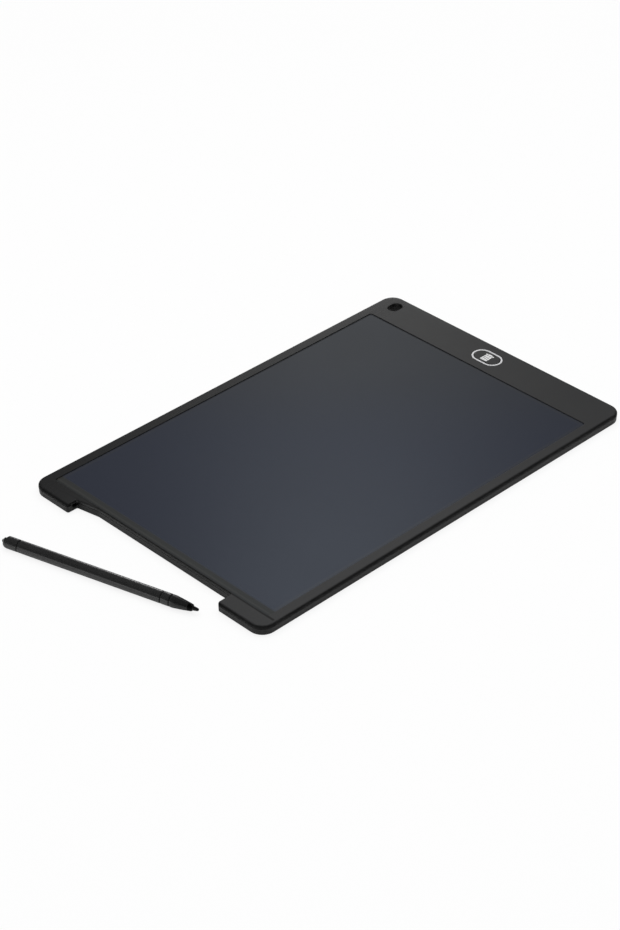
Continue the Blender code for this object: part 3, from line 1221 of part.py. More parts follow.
def pen_nose(start, stylus):
    """Nose that narrows in a slight curve, bored for the nib."""
    end = start + PEN_NOSE_LENGTH
    bore = PEN_NIB_RADIUS + THIN_SEAT
    taper_start = start + PEN_NOSE_SHOULDER
    profile = [(start, bore), (start, PEN_RADIUS - PEN_EDGE), (start + PEN_EDGE, PEN_RADIUS)]
    for step in range(PEN_NOSE_STEPS + 1):
        share = step / PEN_NOSE_STEPS
        bulge = NOSE_CURVE_share * sin(pi * share) * (PEN_RADIUS - PEN_NOSE_END_RADIUS)
        radius = PEN_RADIUS + (PEN_NOSE_END_RADIUS - PEN_RADIUS) * share + bulge
        profile.append((taper_start + (end - taper_start - PEN_NOSE_EDGE) * share, radius))
    profile += [(end, PEN_NOSE_END_RADIUS - PEN_NOSE_EDGE), (end, bore)]
    pen_piece("stylus_nose", profile, PEN_FINISH, stylus)


def pen_nib(nose_end, stylus):
    """Nib: a rod held in the bore, tapered outside it and rounded at the point."""
    tip = nose_end + PEN_NIB_LENGTH
    taper_start = tip - PEN_NIB_STEM_RADIUS - PEN_NIB_TAPER
    profile = [(nose_end - PEN_NIB_TAIL, 0), (nose_end - PEN_NIB_TAIL, PEN_NIB_RADIUS),
               (taper_start, PEN_NIB_RADIUS)]
    for step in range(SMALL_STEPS):
        angle = pi / 2 * step / SMALL_STEPS
        profile.append((tip - PEN_NIB_STEM_RADIUS * (1 - sin(angle)), PEN_NIB_STEM_RADIUS * cos(angle)))
    profile.append((tip, 0))
    pen_piece("stylus_nib", profile, NIB_FINISH, stylus)


def stylus():
    place = (NOTCH_LEFT - PEN_TAIL_SHIFT, -HALF_LENGTH - PEN_TAIL_DISTANCE, PEN_RADIUS - FOOT_PROUD)
    root = make_empty("stylus", place, PEN_ANGLE)
    pen_cap(root)
    barrel_start = PEN_CAP_LENGTH + PEN_JOINT_GAP
    barrel_end = PEN_CAP_LENGTH + PEN_BARREL_LENGTH
    pen_sleeve("stylus_barrel", barrel_start, barrel_end, root)
    collar_end = barrel_end + PEN_COLLAR_LENGTH
    pen_sleeve("stylus_collar", barrel_end + PEN_JOINT_GAP, collar_end, root)
    pen_nose(PEN_NOSE_START, root)
    pen_nib(PEN_NOSE_START + PEN_NOSE_LENGTH, root)


def main():
    clear_scene()
    tablet = make_empty("tablet")
    front_cover(tablet)
    rear_cover(tablet)
    film_stack(tablet)
    film_tail(tablet)
    circuit_board(tablet)
    driver_chip(tablet)
    small_components(tablet)
    film_connector(tablet)
    erase_button(tablet)
    button_ring(tablet)
    erase_switch(tablet)
    lock_switch(tablet)
    lock_slider(tablet)
    coin_cell(tablet)
    battery_contacts(tablet)
    battery_door(tablet)
    screws(tablet)
    feet(tablet)
    stylus()


main()
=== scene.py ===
"""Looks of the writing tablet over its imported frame: materials, printed marks, floor, lamps and camera."""

from math import cos, pi, radians, sin

import bmesh
import bpy
from mathutils import Matrix, Vector


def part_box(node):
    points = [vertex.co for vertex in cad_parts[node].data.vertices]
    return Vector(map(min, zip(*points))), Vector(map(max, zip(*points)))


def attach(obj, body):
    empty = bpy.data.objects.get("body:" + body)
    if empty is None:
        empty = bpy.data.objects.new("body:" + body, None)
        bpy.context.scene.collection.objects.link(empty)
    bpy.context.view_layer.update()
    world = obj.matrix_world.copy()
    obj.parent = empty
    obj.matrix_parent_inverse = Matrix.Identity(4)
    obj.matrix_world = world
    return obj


MM = 0.001

# Camera, fitted to the photograph
LONG_SIDE_PIXELS = 930
FOCAL_PIXELS = 2443.277
SENSOR_WIDTH = 36.0
CAMERA_PLACE = (0.81629458, -0.81024091, 0.79466417)
CAMERA_TURN = radians(45.88806969)
CAMERA_DROP = radians(34.89520661)
CAMERA_ROLL = radians(0.46015)
CAMERA_CLIP_START = 0.05

# Floor and world; the shares are how much of the floor is plain white to the camera and in gloss
FLOOR_HEIGHT = -0.62 * MM
FLOOR_RADIUS = 15.0
FLOOR_SIDES = 96
FLOOR_COLOUR = (0.92, 0.92, 0.92)
FLOOR_WHITE_SHARE = 0.85
FLOOR_GLOSSY_SHARE = 0.08
WORLD_COLOUR = (0.97, 0.985, 1.0)
WORLD_STRENGTH = 0.12

# Lamps: place and size in metres, power in watts, and whether gloss mirrors them
LAMPS = {
    "top_lamp": {"place": (0.0, 0.0, 2.0), "size": (3.0, 3.0), "power": 60.0, "mirrored": False},
    "high_lamp": {"place": (-1.518, 1.534, 2.084), "size": (0.42, 0.84), "power": 1.9, "mirrored": True},
    "low_lamp": {"place": (-2.029, 2.05, 0.827), "size": (0.42, 0.42), "power": 5.1, "mirrored": True},
    "side_lamp": {"place": (-0.34, -2.5, 0.15), "size": (0.5, 0.2), "power": 1.6, "mirrored": True},
}

# Weld and smoothing of the CAD meshes
WELD_DISTANCE = 0.002 * MM
SMOOTH_ANGLE = radians(32)

# Noise textures: size of their features, detail and roughness, and how they are stretched and turned
CLOUDS = {"size": 38 * MM, "detail": 4.0}
SCUFFS = {"size": 2.2 * MM, "detail": 5.0, "rough": 0.7, "stretch": (1, 0.16, 1), "turn": radians(28)}
COVER_WEAR = {"size": 6 * MM, "detail": 5.0, "rough": 0.7}
STYLUS_CLOUDS = {"size": 9 * MM, "detail": 4.0}
STYLUS_SCUFFS = {"size": 1.4 * MM, "detail": 5.0, "rough": 0.7, "stretch": (0.12, 1, 1), "turn": radians(-16)}
FILM_CLOUDS = {"size": 70 * MM}
FILM_STROKES = {"size": 5 * MM, "detail": 6.0, "rough": 0.75, "stretch": (1, 0.25, 1), "turn": radians(35)}
METAL_MARKS = {"size": 0.3 * MM, "detail": 4.0, "rough": 0.6}
METAL_TARNISH = {"size": 2.5 * MM, "detail": 4.0}
CIRCUIT_CLOUDS = {"size": 9 * MM}
FOAM_CLOUDS = {"size": 3 * MM}
GRAIN_DETAIL = 2.0
NOISE_RANGE = (0.3, 0.7)

# Change of roughness by clouds and scuffs, and the range of the scuff noise that makes it
CLOUD_GLOSS = 0.02
SCUFF_GLOSS = (0.0, 0.035)
SCUFF_RANGE = (0.55, 0.8)

# Front cover's outline and smooth rim, and the values of the normal between which its top counts as flat
CORNER_RADIUS = 8.6 * MM
RIM_WIDTH = 1.0 * MM
COVER_FLAT_NORMAL = (0.6, 0.97)

# Front cover's drafted side: how far in it fades out and the top's look starts, its low edge and its slope
COVER_SIDE_FULL = 2.7 * MM
COVER_SIDE_REACH = 3.0 * MM
COVER_TOP_START = 3.9 * MM
COVER_SIDE_LOW = 3.4 * MM
COVER_SIDE_SLOPE = 0.36

# Window's near edge, with a line of painted shadow along it on the cover
WINDOW_LOW = -134.0 * MM
WINDOW_LOW_STEP = 0.2 * MM
EDGE_SHADOW_REACH = 91.0 * MM
EDGE_SHADOW_WIDTH = 0.9 * MM
EDGE_SHADOW_COLOUR = (0.0035, 0.0035, 0.0035)
EDGE_SHADOW_GLOSS = 0.14

# Front cover's colours and gloss: paler towards its right as painted light, darker on its rim and sides as
# painted shade, with wear on them
COVER_COLOUR = (0.012, 0.012, 0.0122)
COVER_LEFT_SHADED_COLOUR = (0.0085, 0.0085, 0.0086)
COVER_RIGHT_LIT_COLOUR = (0.0185, 0.0185, 0.0190)
COVER_CLOUD_COLOUR = (0.0105, 0.0105, 0.0108)
COVER_CLOUD_SHARE = (0.0, 0.25)
COVER_SIDE_SHADE_COLOUR = (0.0035, 0.0035, 0.0035)
COVER_WORN_SIDE_SHADE_COLOUR = (0.0070, 0.0070, 0.0070)
COVER_WORN_RANGE = (0.5, 0.66)
COVER_ROUGHNESS = 0.32
COVER_SPECULAR = 0.42
COVER_GLOSS = (0.27, 0.37)
COVER_SCUFF_GLOSS = (-0.005, 0.03)
COVER_SCUFF_RANGE = (0.5, 0.8)
COVER_SIDE_GLOSS = 0.08
COVER_GRAIN = 0.22 * MM
COVER_GRAIN_DEPTH = 0.0025 * MM

# Writing film: how far the window's edges cover it, and its blue, a painted reflection colour that grows
# along x - y
FILM_SIDE_COVERED = 2.0 * MM
FILM_FAR_COVERED = 1.5 * MM
FILM_NEAR_HIGHLIGHT_PLACE = 1.8 * MM
FILM_PAINTED_BLUE_RANGE = (-150 * MM, 10 * MM)
FILM_COLOUR = (0.022, 0.023, 0.032)
FILM_WARM_COLOUR = (0.0249, 0.0256, 0.0290)
FILM_PAINTED_BLUE_COLOUR = (0.0211, 0.0236, 0.0356)
FILM_CLOUD_COLOUR = (0.018, 0.0195, 0.027)
FILM_CLOUD_SHARE = (0.0, 0.2)
FILM_ROUGHNESS = 0.25
FILM_SPECULAR = 0.35
FILM_TINT = (0.68, 0.86, 1.0)
FILM_GLOSS = (0.24, 0.26)
FILM_STROKE_GLOSS = (0.0, 0.02)
FILM_STROKE_RANGE = (0.6, 0.8)
FILM_MARGIN_GLOSS = 0.12
FILM_GRAIN = 0.12 * MM
FILM_GRAIN_DEPTH = 0.0015 * MM

# Bands along the film's edges: width, share of it at full strength, strength and colour
FILM_SEAL = {"width": 2.6 * MM, "core": 0.8, "strength": 0.4, "colour": (0.030, 0.0305, 0.033)}
FILM_MARGIN = {"width": 6.0 * MM, "core": 0.7, "strength": 0.85, "colour": (0.0205, 0.019, 0.0145)}
# The next band is a pale line near the film's near edge, a painted highlight
FILM_NEAR_HIGHLIGHT = {"width": 0.7 * MM, "core": 0.4, "strength": 0.25, "colour": (0.048, 0.046, 0.041)}
# The next band is dark, painted shade along the film's near edge at the window
FILM_NEAR_SHADE = {"width": 0.9 * MM, "core": 0.6, "strength": 0.7, "colour": (0.011, 0.011, 0.011)}

# Washers in the stylus's grooves
GROOVE_WIDTH = 0.45 * MM
WASHER_WIDTH = 0.41 * MM
WASHER_RADIUS = 3.0 * MM
WASHER_BORE_RADIUS = 2.2 * MM
WASHER_SIDES = 40

# Stylus's nose: the stretches before its end over which its metal ring and its metallic sheen set in
NOSE_LENGTH = 12.75 * MM
NOSE_RING = (-2.1 * MM, -1.47 * MM)
NOSE_RING_COLOUR = (0.008, 0.008, 0.008)
NOSE_RING_GLOSS = 0.25
NOSE_SHEEN = (-14.025 * MM, -8.925 * MM)
NOSE_SHEEN_SHARE = 0.45

# Stylus's colours and gloss
STYLUS_COLOUR = (0.014, 0.014, 0.014)
STYLUS_DARK_COLOUR = (0.011, 0.011, 0.011)
STYLUS_LIGHT_COLOUR = (0.018, 0.018, 0.018)
STYLUS_ROUGHNESS = 0.26
STYLUS_SPECULAR = 0.5
STYLUS_GLOSS = (0.23, 0.29)
STYLUS_SCUFF_GLOSS = (0.0, 0.08)
STYLUS_SCUFF_RANGE = (0.5, 0.8)
STYLUS_GRAIN = 0.2 * MM
STYLUS_GRAIN_DEPTH = 0.0008 * MM

# Moulded pieces by slot: look's name, colour, roughness, specular level, grain's size and depth, and shade
MOULDED = {
    "rear_plastic": ("rear_look", (0.0105, 0.0105, 0.0105), 0.42, 0.22, 0.30 * MM, 0.006 * MM),
    "black_board": ("board_look", (0.012, 0.012, 0.012), 0.6, 0.3, 0.5 * MM, 0.01 * MM),
    "connector_plastic": ("connector_look", (0.6, 0.57, 0.48), 0.45, 0.4, 0.2 * MM, 0.003 * MM),
    "chip_plastic": ("chip_look", (0.015, 0.015, 0.016), 0.55, 0.4, 0.12 * MM, 0.004 * MM),
    "ferrite": ("ferrite_look", (0.035, 0.034, 0.034), 0.6, 0.4, 0.15 * MM, 0.006 * MM),
    "ceramic": ("ceramic_look", (0.42, 0.27, 0.14), 0.4, 0.5, 0.2 * MM, 0.002 * MM),
    "white_trim": ("trim_look", (0.60, 0.60, 0.61), 0.38, 0.45, 0.2 * MM, 0.002 * MM, 0.02),
    "rubber": ("rubber_look", (0.018, 0.018, 0.018), 0.75, 0.3, 0.25 * MM, 0.01 * MM),
    "nib_plastic": ("nib_look", (0.004, 0.004, 0.004), 0.4, 0.3, 0.2 * MM, 0.003 * MM),
}
PRINT_LOOK = ("print_look", (0.72, 0.72, 0.72), 0.45, 0.4, 0.15 * MM, 0.002 * MM, 0.03)
WASHER_LOOK = ("washer_look", (0.006, 0.006, 0.006), 0.7, 0.2, 0.15 * MM, 0.004 * MM)
USUAL_SHADE = 0.12

# Metals: colour and roughness, and how tarnish and fine marks change them
COPPER_COLOUR = (0.75, 0.45, 0.25)
COPPER_ROUGHNESS = 0.32
STEEL_COLOUR = (0.62, 0.61, 0.59)
STEEL_ROUGHNESS = 0.3
TARNISH_DARKENING = 0.72
TARNISH_SHARE = (0.0, 0.5)
METAL_GLOSS = (-0.07, 0.09)
METAL_MARK_DEPTH = 0.004 * MM

# Circuit board: bricks of solder mask, with the tracks between them
CIRCUIT_COLOUR = (0.01, 0.07, 0.03)
CIRCUIT_DARK_COLOUR = (0.008, 0.058, 0.024)
CIRCUIT_LIGHT_COLOUR = (0.012, 0.082, 0.036)
CIRCUIT_ROUGHNESS = 0.35
CIRCUIT_GLOSS = (0.30, 0.38)
CIRCUIT_GRAIN = 0.3 * MM
CIRCUIT_DEPTH = 0.012 * MM
TRACK_COLOUR = (0.035, 0.16, 0.06)
TRACK_LENGTH = 17.0 * MM
TRACK_PITCH = 1.05 * MM
TRACK_SHIFT = 0.37
TRACK_SHIFT_ROWS = 3
TRACK_BRICKS = {
    "Scale": 1 / TRACK_LENGTH,
    "Brick Width": 1.0,
    "Row Height": TRACK_PITCH / TRACK_LENGTH,
    "Mortar Size": 0.01,
    "Mortar Smooth": 0.2,
}

# Film's lead: copper tracks along an amber film
LEAD_PITCH = 0.9 * MM
LEAD_TRACK_EDGE = 0.15
LEAD_AMBER_COLOUR = (0.20, 0.085, 0.02)
LEAD_DULL_COLOUR = (0.52, 0.30, 0.16)
LEAD_GLOSS = (0.26, 0.38)
LEAD_DEPTH = 0.01 * MM

# Foam: size of its cells, walls between them, and colours, with the cells' hollows painted darker as shade
FOAM_CELL = 0.7 * MM
FOAM_WALL_RANGE = (0.1, 0.7)
FOAM_COLOUR = (0.03, 0.03, 0.032)
FOAM_HOLLOW_SHADE_COLOUR = (0.010, 0.010, 0.011)
FOAM_WALL_COLOUR = (0.042, 0.042, 0.045)
FOAM_ROUGHNESS = 0.9
FOAM_SPECULAR = 0.2
FOAM_GLOSS = (0.84, 0.96)
FOAM_DEPTH = 0.12 * MM

# Bin icon printed on the erase button
PRINT_HEIGHT = 0.03 * MM
PRINT_SUNK = 0.01 * MM
ICON_WIDTH = 6.0 * MM
ICON_LENGTH = 7.4 * MM
ICON_LID = 0.95 * MM
ICON_LID_GAP = 0.45 * MM
ICON_HANDLE_WIDTH = 2.4 * MM
ICON_HANDLE_LENGTH = 0.6 * MM
ICON_BODY_WIDTH = 5.0 * MM
ICON_BAR = 0.92 * MM
ICON_SLOTS = 3


# Nodes
def new_material(name, colour, roughness, specular=0.5, metallic=0.0):
    """A material: returns it, its node tree, its Principled shader and the object's own coordinates."""
    made = bpy.data.materials.new(name)
    made.use_nodes = True
    tree = made.node_tree
    shader = tree.nodes["Principled BSDF"]
    shader.inputs["Base Color"].default_value = (*colour, 1)
    shader.inputs["Roughness"].default_value = roughness
    shader.inputs["Specular IOR Level"].default_value = specular
    shader.inputs["Metallic"].default_value = metallic
    coords = tree.nodes.new("ShaderNodeTexCoord").outputs["Object"]
    return made, tree, shader, coords


def put(socket, value):
    """Link an output to a socket, or set the socket to a plain value."""
    if isinstance(value, bpy.types.NodeSocket):
        socket.id_data.links.new(value, socket)
    elif isinstance(value, tuple) and len(value) == 3 and socket.type == "RGBA":
        socket.default_value = (*value, 1)
    else:
        socket.default_value = value


def maths(tree, operation, a, b=0.0):
    node = tree.nodes.new("ShaderNodeMath")
    node.operation = operation
    put(node.inputs[0], a)
    put(node.inputs[1], b)
    return node.outputs[0]


def spread(tree, value, span, within=NOISE_RANGE, smooth=False):
    """Bring a value from the range `within` to the range `span`."""
    node = tree.nodes.new("ShaderNodeMapRange")
    node.interpolation_type = "SMOOTHSTEP" if smooth else "LINEAR"
    put(node.inputs["Value"], value)
    for socket, bound in zip(("From Min", "From Max", "To Min", "To Max"), (*within, *span)):
        put(node.inputs[socket], bound)
    return node.outputs[0]


def rise(tree, value, start, end):
    """Smooth step from 0 at start to 1 at end."""
    return spread(tree, value, (0, 1), (start, end), smooth=True)


def noise(tree, coords, size, detail=3.0, rough=0.55, stretch=(1, 1, 1), turn=0.0):
    """Noise from 0 to 1 with features of about the given size in metres."""
    mapping = tree.nodes.new("ShaderNodeMapping")
    mapping.inputs["Rotation"].default_value = (0, 0, turn)
    mapping.inputs["Scale"].default_value = stretch
    put(mapping.inputs["Vector"], coords)
    node = tree.nodes.new("ShaderNodeTexNoise")
    put(node.inputs["Vector"], mapping.outputs[0])
    node.inputs["Scale"].default_value = 1 / size
    node.inputs["Detail"].default_value = detail
    node.inputs["Roughness"].default_value = rough
    return node.outputs["Fac"]


def blend_colours(tree, factor, a, b):
    node = tree.nodes.new("ShaderNodeMix")
    node.data_type = "RGBA"
    put(node.inputs["Factor"], factor)
    put(node.inputs["A"], a)
    put(node.inputs["B"], b)
    return node.outputs["Result"]


def relief(tree, shader, height, depth=1.0, before=None):
    """Bump of a height times a depth in metres, on top of another bump if there is one."""
    node = tree.nodes.new("ShaderNodeBump")
    node.inputs["Distance"].default_value = depth
    put(node.inputs["Height"], height)
    if before is not None:
        put(node.inputs["Normal"], before)
    put(shader.inputs["Normal"], node.outputs[0])
    return node.outputs[0]


def parts_of(tree, coords):
    node = tree.nodes.new("ShaderNodeSeparateXYZ")
    put(node.inputs[0], coords)
    return node.outputs


def along(tree, coords, start, direction):
    """Distance of a point from the start, measured in a direction."""
    node = tree.nodes.new("ShaderNodeVectorMath")
    node.operation = "DOT_PRODUCT"
    put(node.inputs[0], coords)
    node.inputs[1].default_value = direction
    return maths(tree, "SUBTRACT", node.outputs["Value"], Vector(start).dot(direction))


def rim_distance(tree, x, y, half_width, half_length, radius):
    """Distance in plan from a rounded rectangle, negative inside it."""
    over_x = maths(tree, "SUBTRACT", maths(tree, "ABSOLUTE", x), half_width - radius)
    over_y = maths(tree, "SUBTRACT", maths(tree, "ABSOLUTE", y), half_length - radius)
    square_x = maths(tree, "POWER", maths(tree, "MAXIMUM", over_x, 0), 2)
    square_y = maths(tree, "POWER", maths(tree, "MAXIMUM", over_y, 0), 2)
    outside = maths(tree, "SQRT", maths(tree, "ADD", square_x, square_y))
    inside = maths(tree, "MINIMUM", maths(tree, "MAXIMUM", over_x, over_y), 0)
    return maths(tree, "SUBTRACT", maths(tree, "ADD", outside, inside), radius)


def facing_up(tree, start, end):
    """1 where the surface faces up and 0 on walls, with a smooth step between two values of its normal."""
    normal = tree.nodes.new("ShaderNodeTexCoord").outputs["Normal"]
    return rise(tree, parts_of(tree, normal)[2], start, end)


def add_band(tree, base, distance, width, core, strength, colour):
    """Blend a colour in where a distance is below a width: returns the blend and the band's mask."""
    band = rise(tree, distance, width, core * width)
    return blend_colours(tree, maths(tree, "MULTIPLY", band, strength), base, colour), band


# Places in the frame
def middle(name):
    """Middle of a CAD node's box."""
    low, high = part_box(name)
    return (low + high) / 2


def stylus_direction():
    """Direction from the stylus's tail to its nib, from the frame."""
    return (middle("stylus_collar") - middle("stylus_barrel")).normalized()


# Materials
def moulded_plastic(name, colour, roughness, specular, grain, depth, shade=USUAL_SHADE):
    """Moulded plastic: spark-eroded grain, a little variation and fine scuffs."""
    made, tree, shader, coords = new_material(name, colour, roughness, specular)
    cloud = noise(tree, coords, **CLOUDS)
    darker, lighter = (tuple(c * share for c in colour) for share in (1 - shade, 1 + shade))
    gloss = maths(
        tree, "ADD",
        spread(tree, cloud, (roughness - CLOUD_GLOSS, roughness + CLOUD_GLOSS)),
        spread(tree, noise(tree, coords, **SCUFFS), SCUFF_GLOSS, SCUFF_RANGE))
    put(shader.inputs["Base Color"], blend_colours(tree, cloud, darker, lighter))
    put(shader.inputs["Roughness"], gloss)
    relief(tree, shader, noise(tree, coords, grain, GRAIN_DETAIL), depth)
    return made


def cover_top(tree, y, distance):
    """1 on the cover's flat top and the walls inside it, 0 on its rim, its sides and the notch's wall."""
    flat = maths(
        tree, "MULTIPLY",
        facing_up(tree, *COVER_FLAT_NORMAL),
        rise(tree, distance, -RIM_WIDTH / 2, -RIM_WIDTH))
    inside = maths(
        tree, "MULTIPLY",
        rise(tree, distance, -COVER_SIDE_REACH, -COVER_TOP_START),
        rise(tree, y, WINDOW_LOW - WINDOW_LOW_STEP, WINDOW_LOW))
    return maths(tree, "MAXIMUM", flat, inside)


def cover_edge_shadow(tree, x, y):
    """1 along the line of painted shadow at the window's near edge."""
    from_edge_shadow = maths(tree, "ABSOLUTE", maths(tree, "SUBTRACT", y, WINDOW_LOW - EDGE_SHADOW_WIDTH / 2))
    return maths(
        tree, "MULTIPLY",
        rise(tree, from_edge_shadow, EDGE_SHADOW_WIDTH, EDGE_SHADOW_WIDTH / 2),
        rise(tree, maths(tree, "ABSOLUTE", x), EDGE_SHADOW_REACH + EDGE_SHADOW_WIDTH, EDGE_SHADOW_REACH))


def cover_draft(tree, z, distance, top):
    """Height of a bump by which the cover's upright side takes light as a drafted one."""
    above_low = maths(tree, "MAXIMUM", z, COVER_SIDE_LOW)
    on_side = rise(tree, distance, -COVER_SIDE_REACH, -COVER_SIDE_FULL)
    slope = maths(tree, "MULTIPLY", on_side, -COVER_SIDE_SLOPE)
    return maths(tree, "MULTIPLY", maths(tree, "SUBTRACT", above_low, top), slope)


def cover_plastic():
    """Front cover: grained top, duller towards its right and paler there as painted light; smoother and
    drafted sides, darker as painted shade, with patches of wear.
    """
    made, tree, shader, coords = new_material("cover_look", COVER_COLOUR, COVER_ROUGHNESS, COVER_SPECULAR)
    _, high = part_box("front_cover")
    width = (-high.x, high.x)
    x, y, z = parts_of(tree, coords)
    distance = rim_distance(tree, x, y, high.x, high.y, CORNER_RADIUS)
    top = cover_top(tree, y, distance)
    edge_shadow = cover_edge_shadow(tree, x, y)

    # painted light: the top's colour grows paler from left to right, standing in for the sheen
    base = blend_colours(tree, spread(tree, x, (0, 1), width), COVER_LEFT_SHADED_COLOUR, COVER_RIGHT_LIT_COLOUR)
    cloud = noise(tree, coords, **CLOUDS)
    base = blend_colours(tree, spread(tree, cloud, COVER_CLOUD_SHARE), base, COVER_CLOUD_COLOUR)
    # painted shadow: a dark line on the cover along the window's near edge, where its step would cast shade
    base = blend_colours(tree, edge_shadow, base, EDGE_SHADOW_COLOUR)
    # painted shade: the rim, the sides and the notch's wall take a darker colour than the top, with lighter
    # patches of wear
    worn = rise(tree, noise(tree, coords, **COVER_WEAR), *COVER_WORN_RANGE)
    side = blend_colours(tree, worn, COVER_SIDE_SHADE_COLOUR, COVER_WORN_SIDE_SHADE_COLOUR)
    put(shader.inputs["Base Color"], blend_colours(tree, top, side, base))

    scuffs = spread(tree, noise(tree, coords, **SCUFFS), COVER_SCUFF_GLOSS, COVER_SCUFF_RANGE)
    gloss = maths(tree, "ADD", spread(tree, x, COVER_GLOSS, width), scuffs)
    gloss = maths(tree, "ADD", gloss, maths(tree, "MULTIPLY", edge_shadow, EDGE_SHADOW_GLOSS))
    gloss = maths(tree, "ADD", gloss, COVER_SIDE_GLOSS)
    gloss = maths(tree, "ADD", maths(tree, "MULTIPLY", top, -COVER_SIDE_GLOSS), gloss)
    put(shader.inputs["Roughness"], gloss)

    drafted = relief(tree, shader, cover_draft(tree, z, distance, high.z))
    relief(tree, shader, noise(tree, coords, COVER_GRAIN, GRAIN_DETAIL), COVER_GRAIN_DEPTH, drafted)
    return made


def stylus_material():
    """Glossy barrel with fine scuffs along it, and a sheen and a matt metal ring on the nose."""
    made, tree, shader, coords = new_material(
        "stylus_look", STYLUS_COLOUR, STYLUS_ROUGHNESS, STYLUS_SPECULAR)
    direction = stylus_direction()
    nose_end = middle("stylus_nose") + direction * NOSE_LENGTH / 2
    from_end = along(tree, coords, nose_end, direction)
    ring = rise(tree, from_end, *NOSE_RING)
    sheen = maths(tree, "MULTIPLY", rise(tree, from_end, *NOSE_SHEEN), NOSE_SHEEN_SHARE)
    cloud = noise(tree, coords, **STYLUS_CLOUDS)
    base = blend_colours(tree, cloud, STYLUS_DARK_COLOUR, STYLUS_LIGHT_COLOUR)
    scuffs = spread(tree, noise(tree, coords, **STYLUS_SCUFFS), STYLUS_SCUFF_GLOSS, STYLUS_SCUFF_RANGE)
    gloss = maths(tree, "ADD", spread(tree, cloud, STYLUS_GLOSS), scuffs)
    gloss = maths(tree, "ADD", gloss, maths(tree, "MULTIPLY", ring, NOSE_RING_GLOSS))
    put(shader.inputs["Base Color"], blend_colours(tree, ring, base, NOSE_RING_COLOUR))
    put(shader.inputs["Metallic"], maths(tree, "MAXIMUM", ring, sheen))
    put(shader.inputs["Roughness"], gloss)
    relief(tree, shader, noise(tree, coords, STYLUS_GRAIN, GRAIN_DETAIL), STYLUS_GRAIN_DEPTH)
    return made


def film_material():
    """Writing film: dark blue-grey satin with sealed margins and faint old strokes in its gloss; its blue
    growing along x - y is a painted reflection colour, and a pale line and a dark band at its near edge are a
    painted highlight and painted shade.
    """
    made, tree, shader, coords = new_material(
        "writing_film_look", FILM_COLOUR, FILM_ROUGHNESS, FILM_SPECULAR)
    put(shader.inputs["Specular Tint"], FILM_TINT)
    low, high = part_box("writing_film")
    x, y, _ = parts_of(tree, coords)
    # painted reflection: the base turns bluer along x - y, as the film's reflection does
    painted_blue = rise(tree, maths(tree, "SUBTRACT", x, y), *FILM_PAINTED_BLUE_RANGE)
    base = blend_colours(tree, painted_blue, FILM_WARM_COLOUR, FILM_PAINTED_BLUE_COLOUR)
    cloud = noise(tree, coords, **FILM_CLOUDS)
    base = blend_colours(tree, spread(tree, cloud, FILM_CLOUD_SHARE), base, FILM_CLOUD_COLOUR)

    side = maths(tree, "SUBTRACT", high.x - FILM_SIDE_COVERED, maths(tree, "ABSOLUTE", x))
    far = maths(tree, "SUBTRACT", high.y - FILM_FAR_COVERED, y)
    near = maths(tree, "SUBTRACT", y, low.y)
    off_highlight = maths(tree, "ABSOLUTE", maths(tree, "SUBTRACT", near, FILM_NEAR_HIGHLIGHT_PLACE))
    base, _ = add_band(tree, base, maths(tree, "MINIMUM", side, far), **FILM_SEAL)
    base, margin = add_band(tree, base, near, **FILM_MARGIN)
    # painted highlight: a pale line just inside the film's near edge
    base, _ = add_band(tree, base, off_highlight, **FILM_NEAR_HIGHLIGHT)
    # painted shade: a dark band along the film's near edge
    base, _ = add_band(tree, base, near, **FILM_NEAR_SHADE)
    put(shader.inputs["Base Color"], base)

    strokes = spread(tree, noise(tree, coords, **FILM_STROKES), FILM_STROKE_GLOSS, FILM_STROKE_RANGE)
    gloss = maths(tree, "ADD", spread(tree, cloud, FILM_GLOSS), strokes)
    gloss = maths(tree, "ADD", gloss, maths(tree, "MULTIPLY", margin, FILM_MARGIN_GLOSS))
    put(shader.inputs["Roughness"], gloss)
    relief(tree, shader, noise(tree, coords, FILM_GRAIN, GRAIN_DETAIL), FILM_GRAIN_DEPTH)
    return made


def plain_metal(name, colour, roughness):
    """Metal with fine marks and a slightly uneven tint."""
    made, tree, shader, coords = new_material(name, colour, roughness, metallic=1.0)
    marks = noise(tree, coords, **METAL_MARKS)
    tarnish = spread(tree, noise(tree, coords, **METAL_TARNISH), TARNISH_SHARE)
    darker = tuple(c * TARNISH_DARKENING for c in colour)
    gloss = tuple(roughness + change for change in METAL_GLOSS)
    put(shader.inputs["Base Color"], blend_colours(tree, tarnish, colour, darker))
    put(shader.inputs["Roughness"], spread(tree, marks, gloss))
    relief(tree, shader, marks, METAL_MARK_DEPTH)
    return made


def circuit_material():
    """Green solder mask with paler tracks under it."""
    made, tree, shader, coords = new_material("circuit_look", CIRCUIT_COLOUR, CIRCUIT_ROUGHNESS)
    bricks = tree.nodes.new("ShaderNodeTexBrick")
    bricks.offset = TRACK_SHIFT
    bricks.offset_frequency = TRACK_SHIFT_ROWS
    put(bricks.inputs["Vector"], coords)
    for socket, value in TRACK_BRICKS.items():
        bricks.inputs[socket].default_value = value
    tracks = bricks.outputs["Fac"]
    cloud = noise(tree, coords, **CIRCUIT_CLOUDS)
    mask = blend_colours(tree, cloud, CIRCUIT_DARK_COLOUR, CIRCUIT_LIGHT_COLOUR)
    grain = noise(tree, coords, CIRCUIT_GRAIN, GRAIN_DETAIL)
    put(shader.inputs["Base Color"], blend_colours(tree, tracks, mask, TRACK_COLOUR))
    put(shader.inputs["Roughness"], spread(tree, cloud, CIRCUIT_GLOSS))
    relief(tree, shader, maths(tree, "ADD", tracks, grain), CIRCUIT_DEPTH)
    return made


